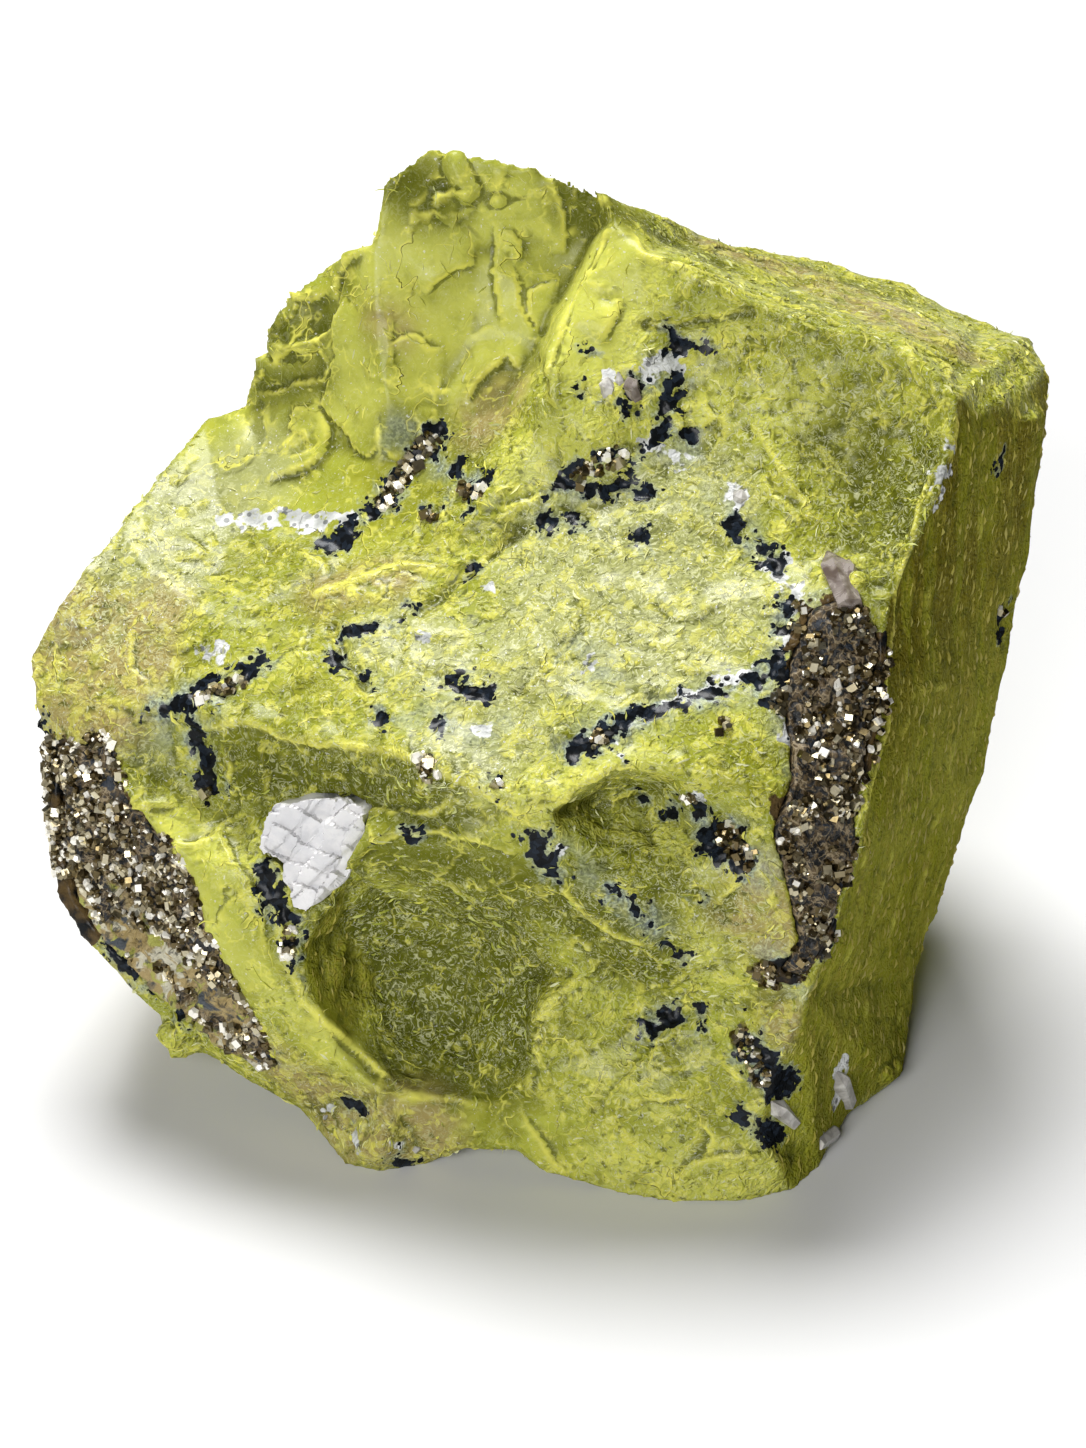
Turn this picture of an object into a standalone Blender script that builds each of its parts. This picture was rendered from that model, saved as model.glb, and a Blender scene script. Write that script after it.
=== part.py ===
# A hand specimen of yellow-green serpentine, with its pyrite crusts and its calcite crystal.
#
# The rock is two fracture skins that meet along a rim: one skin is every surface that faces
# forwards and up, the other is the back and the underside. Each skin is a set of named corners,
# joined by a flat triangulation that keeps the ridges. The joined skins are cut finer and
# roughened, pockets are cut for the minerals, and each mineral is seated in its own pocket.
# Corners are in millimetres, +X right, +Y back, +Z up, and the rock stands on Z = 0.

import math

import bmesh
import bpy
import numpy as np
from mathutils import Matrix, Vector, geometry, noise
from mathutils.bvhtree import BVHTree

MM = 0.001
GAP = 0.3               # clearance between a mineral and its pocket
POCKET_DEPTH = 4.0      # how deep the pyrite pockets reach under the fracture
CALCITE_DEPTH = 5.0
CUTTER_RISE = 9.0       # how far a cutter stands out of the rock
EDGE_LENGTH = 5.2       # longest facet edge on the rock
SWELL_SIZE = 14.0       # the broad unevenness of a fracture
SWELL_HEIGHT = 0.5
CHIP_SIZE = 5.0         # the small unevenness of a fracture
CHIP_HEIGHT = 0.35
NOISE_SEED = 5
FLAT_BELOW = 0.05       # what lies lower than this is the flat underside
STAND_POINT = Vector((0.0, -410.0, 325.0))   # the skins have one surface on each line from here

# The rim where the front skin meets the back skin, clockwise as seen from the front.
RIM = {
    "peak": (-11, 32, 86), "crest": (-1, 30, 85), "crest_end": (5.7, 28, 83),
    "step": (10, 32, 79), "roof_1": (16, 37, 73), "roof_2": (28.5, 40, 68),
    "roof_3": (37, 40, 65.5), "roof_4": (45, 37, 63), "roof_corner": (50, 31.5, 64.5),
    "side_top": (51.5, 27, 63.5), "side_1": (51.2, 22.5, 61), "side_2": (49.7, 17.7, 46),
    "side_3": (47.8, 15, 38), "side_4": (45.5, 10.3, 25), "side_5": (41, 4, 13),
    "side_6": (38.5, -0.5, 6), "heel": (37, -9, 0), "heel_front": (31, -16, 0.5),
    "toe_right": (28, -23, 0), "toe_1": (25, -27, 0), "toe_2": (19.5, -29, 0),
    "toe_3": (13.5, -29, 0), "toe_4": (7.5, -27.5, 0), "toe_left": (0, -25.5, 1.2),
    "arch_right": (-2.5, -24.3, 3), "arch_left": (-7.5, -24, 3), "foot_right": (-11.5, -23, 0),
    "foot_tip": (-16.5, -24.2, 0), "foot_left": (-20, -23, 0), "under_1": (-24.5, -17, 2),
    "under_2": (-31, -14.3, 4.5), "under_3": (-34.5, -13, 6), "knob": (-38, -12.8, 5.5),
    "left_1": (-39, -11.4, 10), "left_2": (-41.7, -11.2, 13), "left_3": (-46.7, -9.4, 18),
    "left_4": (-48.7, -8, 22), "left_5": (-49.5, -4.3, 28), "left_6": (-50, -2, 35),
    "left_7": (-51.2, 1.2, 40), "left_8": (-51.5, 5, 43), "left_9": (-48.3, 7.3, 48),
    "left_10": (-43, 15.6, 51), "left_11": (-38.6, 23.8, 53), "shoulder": (-34.8, 30.3, 55),
    "terrace_foot": (-30.7, 31, 56), "terrace_1": (-28.7, 30.6, 62),
    "terrace_2": (-26.8, 31.5, 68), "terrace_3": (-22, 32.5, 72), "wall_left": (-17, 28, 77),
    "peak_left": (-15.8, 30.4, 83),
}

# Corners of the front skin, form by form.
FRONT = {
    # The tall wall at the back left and the light rib beside it.
    "wall_2": (-16.6, 23.3, 68), "wall_3": (-16, 20.2, 64), "wall_foot": (-16.2, 17.4, 58),
    "wall_4": (-7.3, 28.2, 76.3), "wall_5": (-6.5, 24.2, 68.8), "wall_6": (-10.4, 21.2, 63.5),
    "rib_foot": (-22, 25.7, 62),
    # The cleft between the wall and the block, and the spur of the block that stands before it.
    "cleft_1": (4.6, 28.8, 77.3), "cleft_2": (2.7, 26.8, 73.9), "cleft_3": (1.1, 24.4, 71.1),
    "cleft_4": (-0.4, 22.6, 68), "apron": (-4.3, 19.4, 64.3), "apron_2": (-1.1, 11.8, 64.5),
    "spur_5": (0.9, 12.4, 69.2),
    # The block at the back right: its peak, its top edge and its hollow front.
    "block_peak": (7, 25.3, 81.4), "spur_1": (5.3, 23.2, 79.9), "spur_2": (3.6, 20.4, 76.9),
    "spur_3": (2, 17.6, 74.4), "spur_4": (0.6, 14.6, 72),
    "edge_1": (9.6, 21.6, 80), "edge_2": (15.4, 18.4, 79),
    "edge_3": (25, 13, 77), "edge_4": (34.9, 11.7, 75), "edge_5": (40, 5.6, 73),
    "roof_mid_1": (24, 26, 73), "roof_mid_2": (41, 23, 69),
    "dip_1": (42.1, 7.4, 70), "dip_2": (46, 12.6, 65.8), "dip_3": (49.2, 16.9, 63),
    "brow": (15.5, 17.6, 74.8), "cheek_1": (10.6, 17, 74.5), "cheek_2": (8.4, 12.5, 68.2),
    "cheek_3": (4.1, 9.6, 65.4), "nape": (14.5, 13.4, 67.7),
    "hollow_1": (22.8, 13.6, 73.5), "hollow_2": (25.6, 11.6, 70.5), "hollow_3": (30.6, 11, 70.6),
    "hollow_4": (35.4, 9.5, 70.7), "hollow_5": (36.1, 6.5, 67.3), "hollow_6": (30.2, 8, 64),
    "hollow_7": (34.8, 2.6, 62.3), "hollow_8": (30.8, 1.2, 58.9),
    "sill_0": (19.9, 16.7, 76.3), "sill_1": (18.9, 15.2, 72.7), "sill_2": (21, 10, 66.7),
    "sill_3": (25.1, 3.5, 61.7), "sill_4": (27.2, -0.4, 58.5),
    # The corner between the front and the right side.
    "corner_1": (39.4, 2, 69), "corner_2": (33.5, -7.7, 58), "corner_3": (32.1, -14.1, 46),
    "corner_4": (30.7, -19.9, 37), "corner_5": (27.9, -23.7, 29), "corner_6": (25.1, -25.5, 23.5),
    # The broad sloping bench.
    "seam_1": (-10.3, 18.3, 60), "seam_2": (-21.4, 11.3, 52), "slope_1": (-26.8, 22.6, 55),
    "slope_2": (-21.6, 22.4, 57.5), "slope_3": (-32.2, 18.3, 51), "bench_1": (-10.2, 5.5, 54),
    "bench_2": (5.6, 7.4, 59.8), "bench_3": (15.5, 10.4, 63.2), "bench_4": (23.1, -0.7, 58),
    "bench_5": (5.5, -13.1, 50.5), "bench_6": (-9.1, -8.2, 49), "bench_7": (-24.1, 4.3, 50.5),
    "bench_8": (-34.1, 3.8, 48.5), "bench_9": (-44.3, 4.6, 45.5), "bench_10": (13, -4, 55),
    # The front lip of the bench.
    "lip_1": (-44, -4.5, 39.8), "lip_2": (-42.9, -2.4, 42.2), "lip_3": (-37.9, -3, 43.2),
    "lip_4": (-33.3, -5.8, 43.8), "lip_5": (-23.7, -10.4, 44.5), "lip_6": (-13.8, -16.3, 44.5),
    "lip_7": (-10.9, -19.6, 44.2), "lip_8": (-2.2, -21.3, 44.2), "lip_9": (0.2, -22.3, 43),
    "lip_10": (3.5, -21, 45.3), "lip_11": (7.4, -19.7, 47.2), "lip_12": (13.1, -20.2, 47.2),
    "lip_13": (18.8, -21.6, 46),
    # The pyrite column down the right corner.
    "pillar_0": (28.5, -6.3, 58.3), "pillar_1": (24.9, -5.5, 56.7), "pillar_2": (23.9, -9.7, 53.7),
    "pillar_3": (22.8, -13.8, 50.7), "pillar_4": (24.7, -19.4, 45.5), "pillar_5": (21.7, -23.4, 42),
    "pillar_6": (23.7, -25.4, 37.5), "pillar_7": (25.4, -25.6, 30),
    # The small overhung alcove and the brow of the front.
    "alcove_1": (4.7, -15.5, 39.7), "alcove_2": (9.4, -15, 39.5), "alcove_3": (14.2, -18.8, 40.3),
    "alcove_4": (5.5, -21.2, 38.3), "alcove_5": (11.3, -22.3, 38), "brow_1": (15.1, -23.6, 37.5),
    "brow_2": (9.3, -23.9, 37), "brow_3": (20, -25.2, 31.3),
    # The pyrite face at the left and the strip beside it.
    "vein_1": (-44.3, -5, 38.5), "vein_2": (-39.7, -10, 34.5), "vein_3": (-34.2, -14.9, 31),
    "vein_4": (-32.3, -18.2, 26), "vein_5": (-29.4, -20.7, 20.5), "vein_6": (-25.3, -19.9, 11),
    "ore_1": (-44.3, -6.3, 29.5), "ore_2": (-40.4, -11, 21.5), "ore_3": (-34.5, -14, 13.5),
    # The cliff under the lip, and the lower ledge.
    "ledge_1": (-36, -7.5, 35.3), "ledge_2": (-30.4, -10.5, 33.5), "ledge_3": (-23.9, -11.2, 37.6),
    "ledge_4": (-16.4, -15.2, 39.3), "ledge_5": (-10, -18.8, 40.2),
    # The big scoop in the front.
    "scoop_1": (-27.5, -16.4, 33), "scoop_2": (-23.8, -18.6, 29), "scoop_3": (-23.8, -20.2, 25.5),
    "scoop_4": (-23, -20.9, 18.7), "scoop_5": (-20.2, -21.6, 12.8), "scoop_6": (-15.2, -23.2, 8.7),
    "scoop_7": (-4.3, -23.5, 7.6), "scoop_8": (-0.3, -23.4, 12.6), "scoop_9": (0.7, -22.7, 19.5),
    "scoop_10": (5.1, -20.8, 22.8), "scoop_11": (-15.8, -19.6, 38.7),
    "scoop_12": (-7, -21.3, 38.7), "scoop_13": (1.6, -23.3, 36.8), "scoop_14": (10.4, -25, 30.8),
    "deep_1": (-14.2, -12.8, 25.6), "deep_2": (-16.4, -13, 15.7), "deep_3": (-9.4, -14.5, 11.8),
    "deep_4": (-6.3, -13.5, 22.4), "deep_5": (-20.1, -14.8, 23.4), "deep_6": (-3.3, -16.5, 18.4),
    "deep_7": (-14.3, -17.5, 10.3),
    "brow_4": (-18.7, -17.2, 31.9), "brow_5": (-9.1, -18.6, 31.7), "brow_6": (-1.3, -20.6, 29.3),
    # The low right facet and the foot lump.
    "facet_5": (7.4, -22.6, 15.7), "facet_6": (17.6, -25.4, 15.2),
    "facet_1": (13.4, -20.5, 19.2), "facet_2": (19.9, -22.8, 20.5), "facet_3": (10.6, -26, 12.6),
    "facet_4": (21, -28, 9), "lump": (-16, -25.2, 4.2), "arch_top": (-5.5, -24.6, 5.5),
    "knob_face": (-37.2, -14.2, 8.6),
}

FRONT_RIDGES = [
    ["crest_end", "block_peak", "spur_1", "spur_2", "spur_3", "spur_4", "spur_5"],
    ["crest_end", "cleft_1", "cleft_2", "cleft_3", "cleft_4", "apron", "seam_1", "wall_foot"],
    ["wall_left", "wall_2", "wall_3", "wall_foot"],
    ["wall_left", "rib_foot", "wall_3"],
    ["terrace_foot", "rib_foot"],
    ["wall_foot", "seam_1", "seam_2", "slope_3"],
    ["block_peak", "edge_1", "edge_2", "edge_3", "edge_4", "edge_5", "dip_1", "dip_2", "dip_3"],
    ["dip_3", "side_1"],
    ["step", "edge_1", "cheek_1", "cheek_2", "cheek_3"],
    ["cheek_1", "brow", "sill_0", "sill_1", "sill_2", "sill_3", "sill_4", "pillar_0", "corner_2"],
    ["edge_5", "corner_1", "corner_2", "corner_3", "corner_4", "corner_5", "corner_6"],
    ["corner_6", "toe_right"],
    ["left_7", "lip_1", "lip_2", "lip_3", "lip_4", "lip_5", "lip_6", "lip_7", "lip_8", "lip_9"],
    ["lip_9", "lip_10", "lip_11", "lip_12", "lip_13", "pillar_4"],
    ["pillar_0", "pillar_1", "pillar_2", "pillar_3", "pillar_4", "pillar_5", "pillar_6"],
    ["pillar_6", "pillar_7", "corner_6"],
    ["lip_1", "vein_1", "vein_2", "vein_3", "vein_4", "vein_5", "vein_6", "under_1"],
    ["vein_2", "ledge_1", "ledge_2", "ledge_3", "ledge_4", "ledge_5", "lip_9"],
    ["lip_9", "alcove_4", "alcove_5", "alcove_3", "lip_13"],
    ["alcove_4", "alcove_1", "alcove_2", "alcove_3"],
    ["ledge_2", "scoop_1", "scoop_2", "scoop_3", "scoop_4", "scoop_5", "scoop_6", "scoop_7"],
    ["scoop_7", "scoop_8", "scoop_9", "scoop_10", "scoop_14"],
    ["scoop_2", "scoop_11", "scoop_12", "scoop_13", "scoop_14", "facet_1", "facet_2", "corner_6"],
    ["scoop_3", "brow_4", "brow_5", "brow_6", "scoop_10"],
    ["scoop_7", "toe_left"],
    ["scoop_6", "lump"],
]

# Corners of the back skin: the back wall, then the underside.
BACK = {
    "back_1": (-14, 38, 70), "back_2": (-4, 42, 58), "back_3": (10, 44, 60),
    "back_4": (27, 45, 44), "back_5": (44, 38, 38), "back_6": (-30, 36, 40),
    "back_7": (-44, 22, 30), "back_8": (-45, 8, 18), "back_9": (-34, 28, 16),
    "back_10": (-8, 38, 22), "back_11": (16, 38, 16), "back_12": (38, 28, 18),
    "back_13": (-40, 0, 11), "back_14": (-32, 10, 5), "back_15": (44, 20, 26),
    "base_1": (-16, 24, 0), "base_2": (10, 28, 0), "base_3": (29, 20, 0), "base_4": (34, 4, 0),
    "base_5": (-23, 6, 0), "base_6": (-11, -17, 0), "base_7": (-2, -18, 0),
    "base_8": (-23.5, -10, 0), "knob_back": (-35, -8, 6.8),
}

BACK_RIDGES = [
    ["heel", "base_4", "base_3", "base_2", "base_1", "base_5", "base_8", "foot_left"],
    ["foot_right", "base_6", "base_7", "toe_4"],
    ["terrace_foot", "back_6", "back_9", "base_1"],
    ["roof_4", "back_5", "back_12", "base_3"],
    ["step", "back_3", "back_4", "back_11", "base_2"],
    ["left_8", "back_7", "back_9"],
]


# Outlines of the mineral patches, on the surface of the rock.
LEFT_ORE = [
    (-43.9, -5, 38.8), (-42.7, -6.8, 36.4), (-39.9, -10.4, 33.8), (-37.5, -12.6, 31.4),
    (-34.6, -15.4, 29.8), (-33.6, -16.8, 26.5), (-30.8, -18.4, 19.5), (-26.4, -18, 9),
    (-28.4, -16.3, 6.6), (-33.1, -14.8, 9.4), (-38.2, -12.4, 12.6), (-43.1, -10.3, 17.4),
    (-46.8, -8.1, 22), (-48, -5.6, 26.5), (-48.4, -3.4, 32), (-48.6, -1.6, 36.6),
]
RIGHT_ORE = [
    (28.3, -6.7, 57.4), (31.2, -7.3, 57.2), (32.3, -9.2, 54.2), (32, -12, 50),
    (31.4, -14.8, 45.5), (30.4, -17.8, 40.8), (29.6, -20, 35.5), (27.8, -22.8, 30.5),
    (25.4, -25.1, 25.8), (23.2, -25.3, 26.4), (24.8, -24.9, 30), (23.4, -25, 37),
    (22.2, -23.2, 41.6), (24.2, -19.8, 45.3), (23.3, -13.8, 50.3), (24.3, -9.8, 53.5),
    (25.8, -6.8, 56.2),
]
CALCITE = [
    (-26, -12.7, 37.1), (-22.3, -13, 38.5), (-18.6, -14.2, 39.4), (-16.9, -15.4, 39.1),
    (-17, -17.4, 37.3), (-19.2, -17.6, 32.7), (-22.3, -16.6, 27.7), (-24.2, -17.4, 28.5),
    (-24.2, -17, 30.7), (-25.4, -16.2, 32.8), (-27.6, -14.8, 33.4), (-26.9, -13.4, 35.9),
]
# Pyrite crystals that stand out of each crust: how many, and their smallest and largest size.
LEFT_CRYSTALS = (34, 1.7, 3.2)
RIGHT_CRYSTALS = (20, 1.5, 2.4)
CROWDING = 0.6          # how near two crystals may stand, as a share of their sizes together
# Cleavage steps across the calcite: how wide they are, and the height of each step's top.
STEP_WIDTH = 2.6
STEP_TOPS = (0.2, 1.1, 0.5, 1.5, 0.9, 0.3)
CLEAVAGE_TURN = math.radians(-38)


def seen(point):
    """Where a point lies on a sheet held across the line from STAND_POINT to the rock."""
    ahead = (Vector((0, 0, 38)) - STAND_POINT).normalized()
    right = Vector((1, 0, 0))
    up = right.cross(ahead)
    away = Vector(point) - STAND_POINT
    return Vector((away.dot(right), away.dot(up))) * (500.0 / away.dot(ahead))


def skin_triangles(corners, ridges):
    """Triangles of names over one skin: the rim bounds it and the ridges stay edges."""
    names = list(corners)
    at = {name: i for i, name in enumerate(names)}
    rim = list(RIM)
    lines = [(at[a], at[b]) for a, b in zip(rim, rim[1:] + rim[:1])]
    for ridge in ridges:
        lines += [(at[a], at[b]) for a, b in zip(ridge, ridge[1:])]
    flat = [seen(corners[name]) for name in names]
    points, _, faces, source, _, _ = geometry.delaunay_2d_cdt(flat, lines, [], 1, 1e-5)
    if len(points) != len(names):
        raise ValueError("two ridges cross, or two corners share a place")
    return [[names[source[i][0]] for i in face] for face in faces]


def new_object(name, mesh, material=None):
    """A named object for a finished bmesh, in metres."""
    bmesh.ops.recalc_face_normals(mesh, faces=mesh.faces)
    data = bpy.data.meshes.new(name)
    mesh.to_mesh(data)
    mesh.free()
    made = bpy.data.objects.new(name, data)
    bpy.context.scene.collection.objects.link(made)
    if material:
        data.materials.append(material)
    return made


def stone(name, colour, roughness, metallic=0.0):
    """A plain finish in the mineral's own colour."""
    material = bpy.data.materials.new(name)
    material.use_nodes = True
    shader = material.node_tree.nodes["Principled BSDF"]
    shader.inputs["Base Color"].default_value = (*colour, 1.0)
    shader.inputs["Roughness"].default_value = roughness
    shader.inputs["Metallic"].default_value = metallic
    return material


def cut_finer(mesh, longest):
    """Halves every edge over the length until none is left."""
    while True:
        long = [e for e in mesh.edges if e.calc_length() > longest]
        if not long:
            return
        bmesh.ops.subdivide_edges(mesh, edges=long, cuts=1)
        bmesh.ops.triangulate(mesh, faces=[f for f in mesh.faces if len(f.verts) > 3])


def roughen(mesh):
    """Moves each point by two sizes of smooth noise, less and less towards the underside."""
    noise.seed_set(NOISE_SEED)
    for vertex in mesh.verts:
        place = vertex.co.copy()
        if place.z < FLAT_BELOW:
            continue
        share = min(1.0, place.z / 4.0)
        swell = noise.noise_vector(place / SWELL_SIZE) * SWELL_HEIGHT
        chip = noise.noise_vector(place / CHIP_SIZE + Vector((7, 3, 5))) * CHIP_HEIGHT
        vertex.co = place + (swell + chip) * share
        vertex.co.z = max(vertex.co.z, FLAT_BELOW * 2)


def rock_mesh():
    """The whole rock as one closed mesh, before any pocket is cut."""
    mesh = bmesh.new()
    corners = {**RIM, **FRONT, **BACK}
    points = {name: mesh.verts.new(place) for name, place in corners.items()}
    for triangle in skin_triangles({**RIM, **FRONT}, FRONT_RIDGES):
        mesh.faces.new([points[name] for name in triangle])
    for triangle in skin_triangles({**RIM, **BACK}, BACK_RIDGES):
        mesh.faces.new([points[name] for name in reversed(triangle)])
    cut_finer(mesh, EDGE_LENGTH)
    roughen(mesh)
    bmesh.ops.scale(mesh, vec=(MM, MM, MM), verts=mesh.verts)
    return mesh


def outline_normal(outline):
    """The way that an outline faces, taken from all its edges together."""
    total = Vector((0, 0, 0))
    for here, after in zip(outline, outline[1:] + outline[:1]):
        total += here.cross(after)
    return total.normalized()


def drawn_in(outline, normal, distance):
    """The outline with every side moved inwards by the same distance."""
    moved = []
    before = outline[-1:] + outline[:-1]
    after = outline[1:] + outline[:1]
    for previous, here, following in zip(before, outline, after):
        one = normal.cross(here - previous).normalized()
        other = normal.cross(following - here).normalized()
        moved.append(here + (one + other) * distance / (1.0 + one.dot(other)))
    return moved


def facing_out(places):
    """An outline as vectors, wound so that its normal points out of the rock."""
    outline = [Vector(place) for place in places]
    middle = sum(outline, Vector()) / len(outline)
    if outline_normal(outline).dot(middle - Vector((0, 0, 38))) < 0:
        outline.reverse()
    return outline


def prism(name, outline, normal, depth, rise):
    """A closed column over an outline, from a depth under it to a rise above it."""
    mesh = bmesh.new()
    low = [mesh.verts.new((p - normal * depth) * MM) for p in outline]
    high = [mesh.verts.new((p + normal * rise) * MM) for p in outline]
    for i, start in enumerate(low):
        j = (i + 1) % len(low)
        mesh.faces.new((start, low[j], high[j], high[i]))
    caps = [mesh.faces.new(list(reversed(low))), mesh.faces.new(high)]
    bmesh.ops.triangulate(mesh, faces=caps, ngon_method="EAR_CLIP")
    return as_cutter(new_object(name, mesh))


def as_cutter(made):
    made.hide_render = True
    made.display_type = "WIRE"
    return made


def boolean(made, kind, tool, self_crossing=False):
    """Leaves an exact Boolean on an object."""
    change = made.modifiers.new(kind.lower() + "_" + tool.name, "BOOLEAN")
    change.operation = kind
    change.object = tool
    change.solver = "EXACT"
    change.use_self = self_crossing


def edge_distance(point, outline, normal):
    """How far a point is from the nearest side of an outline, looking along the normal."""
    flat = [place - normal * place.dot(normal) for place in outline]
    point = point - normal * point.dot(normal)
    nearest = math.inf
    for a, b in zip(flat, flat[1:] + flat[:1]):
        on_line, share = geometry.intersect_point_line(point, a, b)
        closest = a if share < 0 else b if share > 1 else on_line
        nearest = min(nearest, (point - closest).length)
    return nearest


def crystal_cluster(name, outline, normal, surface, counts, seed):
    """Cubes turned at random and sunk a little into the crust, clear of its border."""
    count, smallest, largest = counts
    random = np.random.default_rng(seed)
    triangles = geometry.tessellate_polygon([outline])
    areas = np.array([geometry.area_tri(*(outline[i] for i in t)) for t in triangles])
    mesh = bmesh.new()
    grown = []
    while len(grown) < count:
        corners = [outline[i] for i in triangles[random.choice(len(areas), p=areas / areas.sum())]]
        shares = random.dirichlet((1, 1, 1))
        point = sum((c * float(s) for c, s in zip(corners, shares)), Vector())
        size = smallest + (largest - smallest) * random.random() ** 2
        turn = Matrix.Rotation(random.random() * math.tau, 3, Vector(random.normal(size=3)))
        if edge_distance(point, outline, normal) < size * math.sqrt(3) / 2:
            continue
        place = surface.ray_cast((point + normal * CUTTER_RISE) * MM, -normal)[0]
        if place is None or any((place / MM - p).length < (size + s) * CROWDING for p, s in grown):
            continue
        grown.append((place / MM, size))
        spot = Matrix.Translation(place - normal * size * 0.12 * MM) @ turn.to_4x4()
        bmesh.ops.create_cube(mesh, size=size * MM, matrix=spot)
    return as_cutter(new_object(name, mesh))


def cleavage_steps(name, outline, normal):
    """Bars side by side along the cleavage, each with its top at its own height."""
    middle = sum(outline, Vector()) / len(outline)
    across = Vector((0, 0, 1)).cross(normal).normalized()
    across = Matrix.Rotation(CLEAVAGE_TURN, 3, normal) @ across
    along = normal.cross(across)
    frame = Matrix((across, along, normal)).transposed().to_4x4()
    mesh = bmesh.new()
    for i, top in enumerate(STEP_TOPS):
        shift = (i - (len(STEP_TOPS) - 1) / 2) * STEP_WIDTH
        bottom = -CALCITE_DEPTH * 2
        centre = middle + across * shift + normal * (top + bottom) / 2
        size = Vector((STEP_WIDTH * 1.04, 40, top - bottom))
        shape = Matrix.Translation(centre * MM) @ frame @ Matrix.Diagonal((*size * MM, 1))
        bmesh.ops.create_cube(mesh, size=1, matrix=shape)
    return as_cutter(new_object(name, mesh))


def clear_scene():
    for old in list(bpy.data.objects):
        bpy.data.objects.remove(old, do_unlink=True)


def cut_pocket(body, name, outline, normal, depth):
    """Cuts a mineral's pocket and returns the column of the mineral that fits it."""
    boolean(body, "DIFFERENCE", prism(name + "_pocket", outline, normal, depth, CUTTER_RISE))
    inner = drawn_in(outline, normal, GAP)
    return inner, prism(name + "_fit", inner, normal, depth - GAP, CUTTER_RISE * 0.9)


def pyrite_crust(name, body, places, counts, seed, finish):
    """One crust: the rock's own surface inside the pocket, with crystals grown on it."""
    outline = facing_out(places)
    normal = outline_normal(outline)
    rock = bmesh.new()
    rock.from_mesh(body.data)
    surface = BVHTree.FromBMesh(rock)
    inner, fit = cut_pocket(body, name, outline, normal, POCKET_DEPTH)
    crust = new_object(name, rock, finish)
    boolean(crust, "INTERSECT", fit)
    cluster = crystal_cluster(name + "_cubes", inner, normal, surface, counts, seed)
    boolean(crust, "UNION", cluster, self_crossing=True)
    return crust


def calcite_crystal(body, finish):
    """The cleaved calcite: stepped bars, trimmed to the crystal's outline."""
    outline = facing_out(CALCITE)
    normal = outline_normal(outline)
    inner, crystal = cut_pocket(body, "calcite", outline, normal, CALCITE_DEPTH)
    crystal.name = "calcite_crystal"
    crystal.hide_render = False
    crystal.display_type = "TEXTURED"
    crystal.data.materials.append(finish)
    boolean(crystal, "INTERSECT", cleavage_steps("calcite_steps", inner, normal), True)


def build():
    clear_scene()
    green = stone("serpentine", (0.42, 0.46, 0.06), 0.5)
    brass = stone("pyrite", (0.35, 0.29, 0.17), 0.35, 1.0)
    white = stone("calcite", (0.8, 0.78, 0.8), 0.3)
    body = new_object("serpentine_body", rock_mesh(), green)
    pyrite_crust("pyrite_crust_left", body, LEFT_ORE, LEFT_CRYSTALS, 11, brass)
    pyrite_crust("pyrite_crust_right", body, RIGHT_ORE, RIGHT_CRYSTALS, 12, brass)
    calcite_crystal(body, white)


build()
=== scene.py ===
import math

import bmesh
import bpy
import numpy as np
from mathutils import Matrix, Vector
from mathutils.bvhtree import BVHTree


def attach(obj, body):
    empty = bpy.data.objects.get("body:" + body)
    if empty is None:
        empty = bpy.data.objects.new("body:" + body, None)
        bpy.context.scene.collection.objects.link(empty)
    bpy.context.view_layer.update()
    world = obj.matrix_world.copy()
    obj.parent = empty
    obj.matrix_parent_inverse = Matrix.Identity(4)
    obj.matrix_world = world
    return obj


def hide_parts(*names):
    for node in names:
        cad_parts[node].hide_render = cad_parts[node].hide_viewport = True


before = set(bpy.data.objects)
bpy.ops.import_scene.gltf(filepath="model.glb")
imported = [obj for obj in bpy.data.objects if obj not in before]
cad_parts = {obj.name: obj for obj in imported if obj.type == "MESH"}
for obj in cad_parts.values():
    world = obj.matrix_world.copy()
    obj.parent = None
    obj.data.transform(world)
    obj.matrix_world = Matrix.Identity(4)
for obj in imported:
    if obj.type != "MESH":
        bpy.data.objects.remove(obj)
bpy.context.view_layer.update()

# The rock.
# One broken block of serpentine, a soft waxy yellow-green stone. It was split by hand, so every
# face is a fracture: flaky plates on the tall wall, a mealy bench, flutes down the right side.
MM = 0.001
FAR = 9.0                    # further than any distance on the rock
VOXEL = 0.37 * MM            # the fineness of the rock's surface
TRIANGLES = 190000           # what the finished surface is thinned to
PHOTO = (1086, 1448)         # the frame that the marks below are placed in
VIEW_TARGET = Vector((0.0, 0.0, 38 * MM))
VIEW_DISTANCE = 0.5
VIEW_ELEVATION = math.radians(35)
FOCAL = 5000.0               # in pixels of the frame
ahead = Vector((0, math.cos(VIEW_ELEVATION), -math.sin(VIEW_ELEVATION)))
upward = Vector((0, math.sin(VIEW_ELEVATION), math.cos(VIEW_ELEVATION)))
eye = VIEW_TARGET - ahead * VIEW_DISTANCE


def joined_tree(*names):
    """A search tree over some of the frame's nodes, to find where a line of sight lands."""
    corners, faces = [], []
    for name in names:
        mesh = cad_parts[name].data
        faces += [[len(corners) + i for i in face.vertices] for face in mesh.polygons]
        corners += [v.co.copy() for v in mesh.vertices]
    return BVHTree.FromPolygons(corners, faces)


whole_rock = joined_tree("serpentine_body", "pyrite_crust_left", "pyrite_crust_right",
                         "calcite_crystal")


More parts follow.
